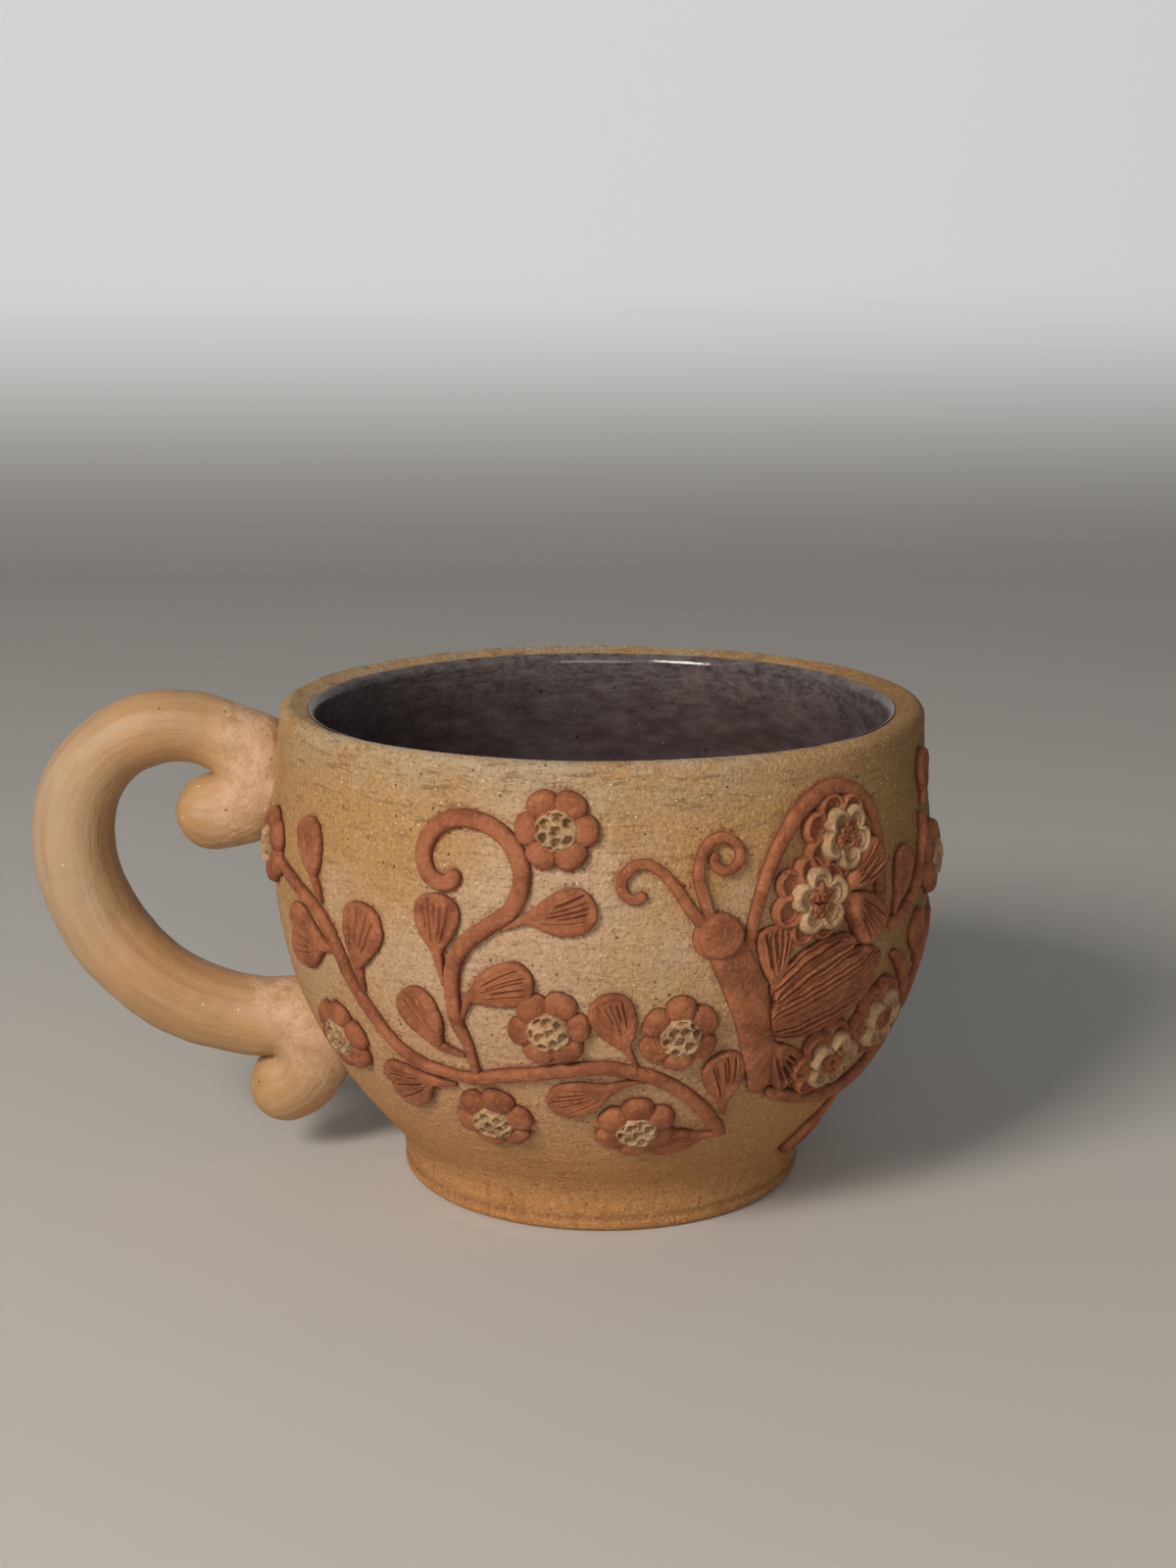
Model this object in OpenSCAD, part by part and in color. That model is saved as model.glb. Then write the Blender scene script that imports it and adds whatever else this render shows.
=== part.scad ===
// Hand-thrown clay mug with a coiled scroll handle and luted relief:
// vines, leaves, pellet flowers and a butterfly.
// The origin is the centre of the foot's ground plane. +Z is up,
// the front faces -Y and the handle points along -X.

/* [Bowl] */
// Height from the table to the crest of the rim
bowl_h = 76; // [75:0.5:84]
// Outer diameter just under the rim
rim_d = 100; // [96:0.5:102]
// Outer diameter at the widest part
belly_d = 103; // [102:0.5:108]
// Height of the widest part
belly_z = 53; // [50:0.5:55]
// Height over which the shoulder draws in above the belly
shoulder_h = 20; // [12:0.5:20]
// Outer diameter of the foot
foot_d = 63.6; // [58:0.2:68]
// Height of the foot up to its neck
foot_h = 6.5; // [5:0.5:8]
// Reach of the soft hollow above and below the neck
neck_reach = 3; // [1:0.5:4]
// Bevel round the bottom edge of the foot
foot_bevel = 1.4; // [0.5:0.1:2]
// Width of the ring that the mug stands on
foot_ring_w = 7; // [5:0.5:9]
// Depth of the trimmed hollow inside the foot ring
foot_hollow = 1.5; // [0.8:0.1:2]
// Wall thickness, square to the wall
wall_t = 5.2; // [4.5:0.1:6]
// Thickness of the clay under the centre of the inside
floor_t = 7.5; // [5:0.5:9]
// Height over which the floor curls up into the wall
floor_rise = 12; // [8:0.5:16]
// Radius of the lip's outer edge
lip_r = 1.9; // [1.2:0.1:2.2]
// Radius of the lip's inner edge
lip_inner_r = 1.5; // [1:0.1:2]
// Fall of the lip from its crest to its inner edge
lip_fall = 0.9; // [0.4:0.1:1.2]
// Thickness of the glaze inside
glaze_t = 0.4; // [0.3:0.05:0.6]

/* [Handle] */
// Diameter of the coil of clay
coil_d = 12.6; // [11:0.1:12.8]
// Radius of the arch, on the coil's centre line
arch_r = 17; // [16:0.5:20]
// Radius of the long sweep back to the wall, on the centre line
sweep_r = 30.8; // [29:0.2:33]
// Radius of the scroll at each end, on the centre line
scroll_r = 6.8; // [6.6:0.1:7.5]
// Reach of the arch's centre beyond the belly
arch_reach = 15.1; // [14:0.1:16]
// Rise of the arch's centre above the belly
arch_rise = 1.3; // [0:0.1:3]
// Thickening of the coil where it is smeared on to the wall
smear_t = 1.6; // [0.5:0.1:2]
// Distance from the wall at which the smear has faded out
smear_reach = 6; // [4:0.5:8]

/* [Relief] */
// Unit of the relief drawing, which all its places are shares of
relief_w = 100; // [98:0.5:102]
// Gap that the slip fills behind each luted piece
slip_gap = 0.1; // [0.05:0.01:0.15]
// Seam between clay pieces that are pressed together
seam = 0.15; // [0.1:0.01:0.2]
// Width of the two long vines
vine_w = 1.8; // [1.5:0.1:2]
// Width of the scroll vine
scroll_vine_w = 2.3; // [2:0.1:2.5]
// Height of the vines
vine_t = 1.3; // [1:0.1:1.6]
// Width of a leaf
leaf_w = 6.8; // [6:0.1:7]
// Height of a leaf
leaf_t = 1.3; // [1:0.1:1.6]
// Width of a leaf's stalk
stalk_w = 1; // [0.8:0.1:1.2]
// Diameter of a pellet flower
flower_d = 11.8; // [11:0.1:12]
// Diameter of one petal pellet
petal_d = 4.4; // [4:0.1:4.6]
// Height of a petal pellet
petal_t = 1.8; // [1.4:0.1:2.2]
// Diameter of a flower's pale centre
centre_d = 5; // [4.4:0.1:5.2]
// Height of a flower's pale centre
centre_t = 1.5; // [1.2:0.1:1.8]
// Diameter of one poked hole in a pale centre
poke_d = 1; // [0.8:0.1:1.1]

/* [Butterfly] */
// Diameter of the head
head_d = 6.6; // [6:0.1:7]
// Height of the head
head_t = 2; // [1.6:0.1:2.4]
// Width of the body at the shoulders
body_w = 5.4; // [5:0.1:5.6]
// Height of the body
body_t = 1.8; // [1.4:0.1:2.2]
// Width of the feelers
feeler_w = 1.4; // [1.2:0.1:1.5]
// Width of the coil round the wings
wing_rim_w = 2; // [1.6:0.1:2.2]
// Width of the fluted pad across the wings
pad_w = 6.6; // [6:0.1:7]
// Width of the narrow fluted pad above it
narrow_pad_w = 2.8; // [2.4:0.1:3]
// Height of the fluted pads
pad_t = 1.6; // [1.3:0.1:1.9]
// Diameter of a wing flower's frill
frill_d = 13; // [12:0.1:13.2]
// Diameter of one cupped petal of the frill
frill_petal_d = 4.6; // [4.2:0.1:4.8]
// Height of the frill
frill_t = 1.3; // [1:0.1:1.5]
// Diameter of a wing flower's pale blossom
blossom_d = 10.2; // [9.6:0.1:10.4]
// Diameter of one cupped petal of the blossom
blossom_petal_d = 3.8; // [3.4:0.1:3.9]
// Height of the blossom above its frill
blossom_t = 1.3; // [1:0.1:1.5]

/* [Hidden] */
foot_r = foot_d / 2;
belly_r = belly_d / 2;
rim_r = rim_d / 2;
coil_r = coil_d / 2;
// Overrun of every cut
cut = 1;
// Step in height at which the wall's slope is read
slope_step = bowl_h / 500;
// Power of the curve from the foot to the belly
hip_power = 2.25;
round_fn = 48;

front_leaf_n = 12;
wing_leaf_n = 5;
flower_n = 7;
wing_flower_n = 4;
petal_n = 6;
frill_n = 7;
blossom_n = 5;

// Places in the relief drawing are [along, up] shares of relief_w.
// Along is measured round the belly from the front centre line, to the right.
left_vine_shares = [
    [-0.57, 0.535], [-0.535, 0.525], [-0.47, 0.5], [-0.432, 0.46], [-0.407, 0.415],
    [-0.377, 0.375], [-0.335, 0.325], [-0.292, 0.303], [-0.252, 0.297]
];
scroll_vine_shares = [
    [-0.201, 0.311], [-0.208, 0.36], [-0.217, 0.42], [-0.206, 0.475], [-0.165, 0.52],
    [-0.125, 0.555], [-0.114, 0.595], [-0.127, 0.635], [-0.159, 0.668], [-0.205, 0.677],
    [-0.245, 0.656], [-0.259, 0.62], [-0.239, 0.587], [-0.213, 0.586], [-0.204, 0.603],
    [-0.212, 0.617]
];
right_vine_shares = [
    [-0.235, 0.294], [-0.191, 0.295], [-0.151, 0.304], [-0.102, 0.312], [-0.042, 0.322],
    [0.005, 0.325], [0.043, 0.318], [0.081, 0.305], [0.122, 0.28], [0.16, 0.248],
    [0.193, 0.215], [0.218, 0.188]
];
left_feeler_shares = [
    [0.131, 0.541], [0.112, 0.565], [0.096, 0.592], [0.077, 0.615], [0.056, 0.624],
    [0.035, 0.617], [0.025, 0.6], [0.029, 0.581], [0.044, 0.574], [0.057, 0.582]
];
right_feeler_shares = [
    [0.146, 0.552], [0.135, 0.572], [0.131, 0.6], [0.136, 0.628], [0.15, 0.65],
    [0.17, 0.656], [0.189, 0.644], [0.194, 0.624], [0.18, 0.609], [0.162, 0.61],
    [0.154, 0.625], [0.164, 0.636]
];
body_shares = [
    [0.178, 0.484], [0.188, 0.46], [0.203, 0.42], [0.222, 0.37], [0.241, 0.315], [0.263, 0.25]
];
upper_wing_rim_shares = [
    [0.207, 0.497], [0.213, 0.52], [0.222, 0.558], [0.242, 0.605], [0.269, 0.648],
    [0.299, 0.682], [0.334, 0.704], [0.369, 0.716], [0.406, 0.712], [0.44, 0.684],
    [0.459, 0.64], [0.46, 0.59], [0.458, 0.545], [0.46, 0.505]
];
lower_wing_rim_shares = [
    [0.293, 0.246], [0.352, 0.226], [0.418, 0.212], [0.488, 0.214], [0.55, 0.228],
    [0.588, 0.256], [0.603, 0.302], [0.588, 0.354], [0.545, 0.402], [0.502, 0.432]
];
upper_pad_shares = [[0.272, 0.435], [0.327, 0.466], [0.385, 0.489], [0.438, 0.499]];
lower_pad_shares = [[0.256, 0.368], [0.316, 0.404], [0.389, 0.44], [0.47, 0.466]];

// Each leaf: end of the stalk, base of the blade, tip, width and notch.
// The width is a share of leaf_w and the notch a share of the blade.
leaf_shares = [
    [[-0.468, 0.523], [-0.481, 0.55], [-0.516, 0.632], 0.95, 0],
    [[-0.447, 0.45], [-0.465, 0.452], [-0.576, 0.455], 1.5, 0.2],
    [[-0.381, 0.408], [-0.386, 0.438], [-0.362, 0.535], 1.15, 0],
    [[-0.22, 0.331], [-0.254, 0.336], [-0.294, 0.423], 1, 0],
    [[-0.246, 0.275], [-0.283, 0.276], [-0.389, 0.247], 1.25, 0.25],
    [[-0.232, 0.445], [-0.237, 0.484], [-0.238, 0.57], 1.05, 0],
    [[-0.137, 0.518], [-0.09, 0.552], [-0.012, 0.562], 0.95, 0],
    [[-0.192, 0.38], [-0.179, 0.438], [-0.098, 0.474], 0.9, 0],
    [[0.038, 0.336], [0.027, 0.356], [0.006, 0.44], 0.95, 0],
    [[0.205, 0.233], [0.197, 0.25], [0.177, 0.338], 0.95, 0],
    [[0.037, 0.296], [0, 0.285], [-0.085, 0.266], 0.9, 0],
    [[0.211, 0.178], [0.189, 0.178], [0.106, 0.17], 0.7, 0]
];
wing_leaf_shares = [
    [[0.25, 0.422], [0.251, 0.436], [0.248, 0.52], 0.75, 0],
    [[0.384, 0.556], [0.39, 0.562], [0.437, 0.604], 0.7, 0],
    [[0.384, 0.541], [0.39, 0.54], [0.436, 0.535], 0.65, 0.1],
    [[0.276, 0.336], [0.28, 0.328], [0.317, 0.268], 0.7, 0.1],
    [[0.515, 0.185], [0.506, 0.16], [0.482, 0.088], 0.7, 0]
];
back_leaf_shares = [
    [[0.497, 0.499], [0.5, 0.512], [0.533, 0.588], 0.8, 0],
    [[0.622, 0.636], [0.627, 0.646], [0.65, 0.71], 0.8, 0],
    [[0.638, 0.385], [0.626, 0.4], [0.577, 0.47], 0.9, 0],
    [[0.868, 0.449], [0.859, 0.465], [0.825, 0.545], 1, 0],
    [[1.135, 0.33], [1.126, 0.35], [1.061, 0.435], 1, 0],
    [[1.35, 0.343], [1.352, 0.358], [1.366, 0.43], 0.9, 0],
    [[1.49, 0.509], [1.5, 0.522], [1.565, 0.585], 1, 0]
];
// Each flower: its centre and the turn of its first petal
flower_shares = [
    [[-0.689, 0.556], 0], [[-0.488, 0.3], 15], [[-0.065, 0.669], 30], [[-0.076, 0.385], 24],
    [[0.11, 0.375], 0], [[-0.185, 0.222], 18], [[0.056, 0.217], 0]
];
// Each wing flower: its centre, the turn of its first petal, the frill petals it has
wing_flower_shares = [
    [[0.377, 0.634], 20, [0, 1, 5, 6]], [[0.318, 0.553], 0, [0, 1, 3, 4, 5, 6]],
    [[0.507, 0.332], 30, [0, 1, 2, 3, 5, 6]], [[0.392, 0.29], 10, [0, 1, 2, 3, 6]]
];
back_flower_shares = [
    [[0.665, 0.54], 0], [[0.823, 0.355], 20], [[0.984, 0.47], 0], [[1.208, 0.42], 10],
    [[1.545, 0.385], 25], [[1.69, 0.53], 0]
];
back_stem_shares = [
    [0.479, 0.478], [0.521, 0.49], [0.56, 0.51], [0.588, 0.545], [0.607, 0.585], [0.61, 0.622]
];
back_vine_shares = [
    [0.651, 0.3], [0.705, 0.32], [0.736, 0.4], [0.81, 0.43], [0.893, 0.42], [0.984, 0.37],
    [1.109, 0.31], [1.215, 0.3], [1.308, 0.315], [1.396, 0.335], [1.441, 0.4],
    [1.476, 0.47], [1.542, 0.49], [1.612, 0.45], [1.656, 0.4]
];

// Thickness of the handle's coil along it, as [place, thickness] shares
coil_shares = [[0, 0.98], [0.2, 0.93], [0.42, 0.93], [0.6, 1.03], [0.82, 1.03], [1, 0.98]];

function smooth(t) = t * t * (3 - 2 * t);

// A bent line: flat below -reach, rising one to one above +reach
function soft_rise(u, reach) =
    u < -reach ? 0 : u > reach ? u : pow(u + reach, 2) / (4 * reach);

// Outer radius of the wall at a height
function wall_r(z) =
    z < belly_z
        ? foot_r + (belly_r - foot_r)
            * (1 - pow(1 - soft_rise(z - foot_h, neck_reach) / (belly_z - foot_h), hip_power))
        : belly_r - (belly_r - rim_r) * smooth(min(1, (z - belly_z) / shoulder_h));

// Change of the wall's radius with height
function wall_slope(z) =
    (wall_r(z + slope_step) - wall_r(z - slope_step)) / (2 * slope_step);

function inner_r(z) = wall_r(z) - wall_t * sqrt(1 + pow(wall_slope(z), 2));

// Azimuth of a place in the relief drawing
function azimuth(along) = -90 + along / belly_r * 180 / PI;

function normal(a, z) =
    let (m = wall_slope(z), n = sqrt(1 + m * m))
    [cos(a) / n, sin(a) / n, -m / n];

// Point on the wall for [along, up] in millimetres, lifted off the wall
function on_wall(place, lift = 0) =
    let (z = place.y, a = azimuth(place.x), n = normal(a, z))
    [wall_r(z) * cos(a), wall_r(z) * sin(a), z] + lift * n;

function unit(v) = v / norm(v);

// How much the drawing is narrowed across and stretched up where it lies on the wall
function spread(z) = [wall_r(z) / belly_r, sqrt(1 + pow(wall_slope(z), 2))];

// A place moved by true lengths along the wall, to the right and up
function moved(place, right_up) =
    let (k = spread(place.y + right_up.y / spread(place.y).y))
    place + [right_up.x / k.x, right_up.y / k.y];

// One span of a smooth curve through hand-placed points
function span(p, i, t) =
    let (
        a = p[max(0, i - 1)],
        b = p[i],
        c = p[i + 1],
        d = p[min(len(p) - 1, i + 2)]
    )
    b + t * ((c - a) / 2 + t * ((2 * a - 5 * b + 4 * c - d) / 2 + t * (3 * b - a - 3 * c + d) / 2));

function curve(p, steps) = concat(
    [for (i = [0:len(p) - 2], k = [0:steps - 1]) span(p, i, k / steps)],
    [p[len(p) - 1]]
);

// Value at t in a table of [place, value] shares, taken along straight lines
function between(table, t, i = 0) =
    i >= len(table) - 2 || t <= table[i + 1][0]
        ? let (u = (t - table[i][0]) / (table[i + 1][0] - table[i][0]))
            table[i][1] + (table[i + 1][1] - table[i][1]) * min(1, max(0, u))
        : between(table, t, i + 1);

function reversed(list) = [for (i = [len(list) - 1:-1:0]) list[i]];

function arc(centre, radius, from, to, steps) =
    [for (i = [0:steps])
        let (a = from + (to - from) * i / steps)
        centre + radius * [cos(a), sin(a)]];

// Outline of the wall's inside, from the centre of the floor up to a height
function inside_line(inset, top, steps = 14) =
    let (floor_z = floor_t + inset, corner_z = floor_z + floor_rise)
    concat(
        [for (i = [0:steps])
            let (a = 90 * i / steps, z = floor_z + floor_rise * (1 - cos(a)))
            [(inner_r(z) - inset) * sin(a), z]],
        [for (i = [1:steps])
            let (z = corner_z + (top - corner_z) * i / steps)
            [inner_r(z) - inset, z]]
    );

module bowl() {
    lip_z = bowl_h - lip_fall - lip_inner_r;
    outer_steps = 26;
    side = [for (i = [0:outer_steps])
        let (z = foot_bevel + (bowl_h - lip_r - foot_bevel) * i / outer_steps)
        [wall_r(z), z]];
    lip = concat(
        arc([rim_r - lip_r, bowl_h - lip_r], lip_r, 0, 90, 6),
        arc([inner_r(lip_z) + lip_inner_r, lip_z], lip_inner_r, 90, 180, 5)
    );
    foot = [
        [0, foot_hollow],
        [foot_r - foot_bevel - foot_ring_w, foot_hollow],
        [foot_r - foot_bevel - foot_ring_w + foot_hollow, 0],
        [foot_r - foot_bevel, 0]
    ];
    color("#c79c68")
    rotate_extrude($fn = round_fn * 2)
    polygon(concat(foot, side, lip, reversed(inside_line(0, lip_z - seam))));
}

module glaze_lining() {
    top = bowl_h - lip_fall - lip_inner_r - seam;
    color("#4a3a3c")
    rotate_extrude($fn = round_fn * 2)
    polygon(concat(
        inside_line(slip_gap, top),
        reversed(inside_line(slip_gap + glaze_t, top))
    ));
}

// The coil's centre line is four arcs in the plane y = 0, each tangent to the next.
// Every station is [x, z, direction x, direction z].
function arc_stations(centre, radius, from, to, steps) =
    let (way = sign(to - from))
    [for (i = [0:steps])
        let (a = from + (to - from) * i / steps)
        [centre.x + radius * cos(a), centre.y + radius * sin(a), -way * sin(a), way * cos(a)]];

function tail(list) = [for (i = [1:len(list) - 1]) list[i]];

arch_start = 60;
upper_scroll_end = -88;
lower_scroll_end = -64;

function handle_line() =
    let (
        arch = [-belly_r - arch_reach, belly_z + arch_rise],
        upper = arch + (arch_r - scroll_r) * [cos(arch_start), sin(arch_start)],
        sweep = arch + [sweep_r - arch_r, 0],
        lower = sweep - [0, sweep_r + scroll_r]
    )
    concat(
        arc_stations(upper, scroll_r, upper_scroll_end, arch_start, 13),
        tail(arc_stations(arch, arch_r, arch_start, 180, 14)),
        tail(arc_stations(sweep, sweep_r, 180, 270, 15)),
        tail(arc_stations(lower, scroll_r, 90, lower_scroll_end, 13))
    );

// Rounds off the coil's two ends with smaller and smaller rings
function round_end(station, radius, way, angles) =
    [for (a = angles)
        [
            station[0] + way * station[2] * radius * sin(a),
            station[1] + way * station[3] * radius * sin(a),
            station[2], station[3], radius * cos(a)
        ]];

// Keeps a point of the coil off the wall, with the smear round the join
function luted(centre, out) =
    let (
        p = centre + out,
        off = max(0, norm([p.x, p.y]) - wall_r(p.z)),
        smear = smear_t * pow(max(0, 1 - off / smear_reach), 2),
        q = p + smear * unit(out),
        r = norm([q.x, q.y]),
        least = wall_r(q.z) + slip_gap
    )
    r >= least ? q : [q.x * least / r, q.y * least / r, q.z];

module handle() {
    sides = 16;
    line = handle_line();
    last = len(line) - 1;
    body = [for (i = [0:last])
        let (s = line[i])
        [s[0], s[1], s[2], s[3], coil_r * between(coil_shares, i / last)]];
    rings = concat(
        round_end(line[0], body[0][4], -1, [72, 48, 24]),
        body,
        round_end(line[last], body[last][4], 1, [24, 48, 72])
    );
    points = [for (s = rings, k = [0:sides - 1])
        let (a = 360 * k / sides, out = s[4] * [s[3] * cos(a), sin(a), -s[2] * cos(a)])
        luted([s[0], 0, s[1]], out)];
    color("#d0a577")
    skin(points, len(rings), sides);
}

// Closes rings of points, each with the same number of points, into a solid
module skin(points, ring_n, side_n) {
    first = [for (k = [0:side_n - 1]) points[k]];
    final = [for (k = [0:side_n - 1]) points[(ring_n - 1) * side_n + k]];
    mean = [for (k = [0:side_n - 1]) 1] / side_n;
    ends = [mean * first, mean * final];
    end_a = ring_n * side_n;
    end_b = end_a + 1;
    sides = [for (i = [0:ring_n - 2], k = [0:side_n - 1])
        let (
            a = i * side_n + k,
            b = i * side_n + (k + 1) % side_n,
            c = a + side_n,
            d = b + side_n
        )
        each [[a, d, b], [a, c, d]]];
    caps = [for (k = [0:side_n - 1])
        let (next = (k + 1) % side_n, base = (ring_n - 1) * side_n)
        each [[k, next, end_a], [base + next, base + k, end_b]]];
    polyhedron(concat(points, ends), concat(sides, caps), convexity = 6);
}

// A strip of clay laid on the wall along a line of [along, up] places.
// Its section is a loop of [across, up] shares of the half width and height.
module strip(line, half_w, height, section) {
    last = len(line) - 1;
    points = [for (i = [0:last])
        let (
            here = on_wall(line[i]),
            ahead = on_wall(line[min(last, i + 1)]),
            behind = on_wall(line[max(0, i - 1)]),
            n = normal(azimuth(line[i].x), line[i].y),
            across = cross(unit(ahead - behind), n)
        )
        for (q = section)
        here + across * q.x * half_w[i] + n * (slip_gap + q.y * height[i])];
    skin(points, last + 1, len(section));
}

// Half-round section of a rolled coil that is pressed on
coil_section_shares = [
    [-1, 0], [-1, 0.45], [-0.62, 0.87], [0, 1], [0.62, 0.87], [1, 0.45], [1, 0]
];

// A rolled coil of clay, tapered as the [place, width] shares say
module coil(shares, width, height, steps, taper_shares) {
    line = curve(shares * relief_w, steps);
    last = len(line) - 1;
    taper = [for (i = [0:last]) between(taper_shares, i / last)];
    strip(
        line,
        [for (t = taper) width / 2 * t],
        [for (t = taper) height * (0.4 + 0.6 * t)],
        coil_section_shares
    );
}

blunt_shares = [[0, 0.6], [0.04, 1], [0.94, 1], [1, 0.5]];

module left_vine() {
    color("#a75f40")
    coil(left_vine_shares, vine_w, vine_t, 2, [[0, 0.6], [0.1, 0.9], [0.9, 1], [1, 0.7]]);
}

module scroll_vine() {
    color("#a75f40")
    coil(scroll_vine_shares, scroll_vine_w, vine_t, 3,
        [[0, 0.8], [0.06, 1], [0.6, 1], [0.85, 0.8], [1, 0.4]]);
}

module right_vine() {
    color("#a75f40")
    coil(right_vine_shares, vine_w, vine_t, 2, [[0, 0.7], [0.08, 1], [0.8, 1], [1, 0.5]]);
}

// Fluted section of a leaf, with a groove for each vein
leaf_section_shares = [
    [-1, 0], [-1, 0.5], [-0.8, 0.88], [-0.6, 1], [-0.44, 0.7], [-0.22, 1], [0, 0.7],
    [0.22, 1], [0.44, 0.7], [0.6, 1], [0.8, 0.88], [1, 0.5], [1, 0], [0, 0]
];
// Width of a blade from its base to its tip
blade_shares = [
    [0, 0], [0.12, 0.25], [0.28, 0.62], [0.45, 0.88], [0.62, 1], [0.78, 0.95],
    [0.9, 0.74], [0.97, 0.45], [1, 0.22]
];

// A leaf with a stalk, a fluted blade and a rounded or notched tip
module leaf(row) {
    stalk = row[0] * relief_w;
    base = row[1] * relief_w;
    tip = row[2] * relief_w;
    half = leaf_w / 2 * row[3];
    notch = row[4];
    blade_n = len(blade_shares) - 1;
    line = concat(
        [stalk, (stalk + base) / 2 + (base - stalk) / 12],
        [for (s = blade_shares) base + (tip - base) * s[0]]
    );
    widths = concat(
        [stalk_w / 3, stalk_w / 2],
        [for (s = blade_shares) max(stalk_w / 2, half * s[1])]
    );
    heights = concat(
        [leaf_t * 0.5, leaf_t * 0.7],
        [for (s = blade_shares) leaf_t * (s[0] > 0.95 ? 0.7 : 1)]
    );
    last = len(line) - 1;
    points = [for (i = [0:last])
        let (
            ahead = line[min(last, i + 1)] - line[max(0, i - 1)],
            k = spread(line[i].y),
            way = unit([ahead.x * k.x, ahead.y * k.y]),
            side = [way.y, -way.x],
            back = notch * norm(tip - base) * pow(max(0, (i - 2) / blade_n), 2)
        )
        for (q = leaf_section_shares)
        let (
            place = moved(line[i], side * q.x * widths[i] - way * back * (1 - q.x * q.x))
        )
        on_wall(place, slip_gap + q.y * heights[i])];
    skin(points, last + 1, len(leaf_section_shares));
}

// Sets children on the wall at a place in millimetres, facing out.
// Their x axis then points down the wall and their y axis to the right.
module seated(place, lift = 0) {
    translate(on_wall(place, slip_gap + lift))
    rotate([0, 90 + atan(wall_slope(place.y)), azimuth(place.x)])
    children();
}

function all_of(n) = [for (i = [0:n - 1]) i];

// Sets copies of a piece in a ring of n on the wall, each turned to face the middle
module ring_on_wall(place, n, radius, turn, which, lift = 0) {
    for (i = which) {
        a = turn + 360 * i / n;
        seated(moved(place, radius * [sin(a), cos(a)]), lift)
        rotate([0, 0, 180 - a])
        children();
    }
}

// A pressed button of clay: a low cylinder with a domed top
module button(diameter, height) {
    rise = height * 0.6;
    dome_r = (pow(diameter / 2, 2) + rise * rise) / (2 * rise);
    intersection() {
        cylinder(h = height, d = diameter, $fn = round_fn);
        translate([0, 0, height - dome_r])
        sphere(r = dome_r, $fn = round_fn * 2);
    }
}

// Keeps what lies in one petal's share of a ring, less half a seam at each side
module petal_sector(n, ring_r, reach, height) {
    half = 180 / n;
    start = seam / 2 / sin(half);
    far = ring_r + reach;
    intersection() {
        children();
        translate([0, 0, -cut])
        linear_extrude(height + 2 * cut)
        polygon([
            [start - ring_r, 0],
            [far - ring_r, -(far - start) * tan(half)],
            [far - ring_r, (far - start) * tan(half)]
        ]);
    }
}

// One petal of a pellet flower, squeezed by its neighbours and by the centre
module pellet_petal() {
    ring_r = (flower_d - petal_d) / 2;
    difference() {
        petal_sector(petal_n, ring_r, petal_d, petal_t) button(petal_d, petal_t);
        translate([-ring_r, 0, -cut])
        cylinder(h = petal_t + 2 * cut, d = centre_d + 2 * seam, $fn = round_fn);
    }
}

module flower_petals(row) {
    ring_on_wall(row[0] * relief_w, petal_n, (flower_d - petal_d) / 2, row[1], all_of(petal_n))
    pellet_petal();
}

// The pale centre, poked all over with a blunt point
module flower_centre(row) {
    seated(row[0] * relief_w)
    rotate([0, 0, row[1]])
    difference() {
        button(centre_d, centre_t);
        for (i = [0:4])
            rotate([0, 0, 72 * i])
            translate([centre_d * 0.3, 0, centre_t * 0.95])
            sphere(d = poke_d, $fn = round_fn);
        translate([0, 0, centre_t])
        sphere(d = poke_d, $fn = round_fn);
    }
}

module butterfly_head() {
    place = [0.16, 0.517] * relief_w;
    color("#a75f40")
    seated(place)
    union() {
        button(head_d, head_t * 0.65);
        translate([-head_d, head_d, 0] * 0.06)
        button(head_d * 0.8, head_t);
    }
}

// The body narrows from the shoulders to a blunt tail
body_width_shares = [[0, 0.9], [0.15, 1], [0.6, 0.86], [0.9, 0.66], [1, 0.4]];

module butterfly_body() {
    color("#a75f40")
    coil(body_shares, body_w, body_t, 2, body_width_shares);
}

feeler_taper_shares = [[0, 0.9], [0.5, 1], [0.85, 0.9], [1, 0.5]];

module left_feeler() {
    color("#a75f40")
    coil(left_feeler_shares, feeler_w, vine_t, 2, feeler_taper_shares);
}

module right_feeler() {
    color("#a75f40")
    coil(right_feeler_shares, feeler_w, vine_t, 2, feeler_taper_shares);
}

module upper_wing_rim() {
    color("#a75f40")
    coil(upper_wing_rim_shares, wing_rim_w, vine_t, 2, blunt_shares);
}

module lower_wing_rim() {
    color("#a75f40")
    coil(lower_wing_rim_shares, wing_rim_w, vine_t, 2, blunt_shares);
}

// Flutes across a pad, as a section with a groove at every other point
flute_n = 7;
pad_section_shares = concat(
    [[-1, 0], [-1, 0.5]],
    [for (i = [0:2 * flute_n])
        [-0.9 + 1.8 * i / (2 * flute_n), i % 2 == 0 ? 0.68 : 1]],
    [[1, 0.5], [1, 0], [0, 0]]
);
pad_width_shares = [[0, 0.45], [0.12, 0.8], [0.35, 1], [0.75, 0.95], [0.92, 0.7], [1, 0.4]];

module wing_pad(shares, width) {
    line = curve(shares * relief_w, 3);
    last = len(line) - 1;
    strip(
        line,
        [for (i = [0:last]) width / 2 * between(pad_width_shares, i / last)],
        [for (i = [0:last]) pad_t],
        pad_section_shares
    );
}

module upper_wing_pad() {
    color("#a75f40")
    wing_pad(upper_pad_shares, narrow_pad_w);
}

module lower_wing_pad() {
    color("#a75f40")
    wing_pad(lower_pad_shares, pad_w);
}

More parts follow.
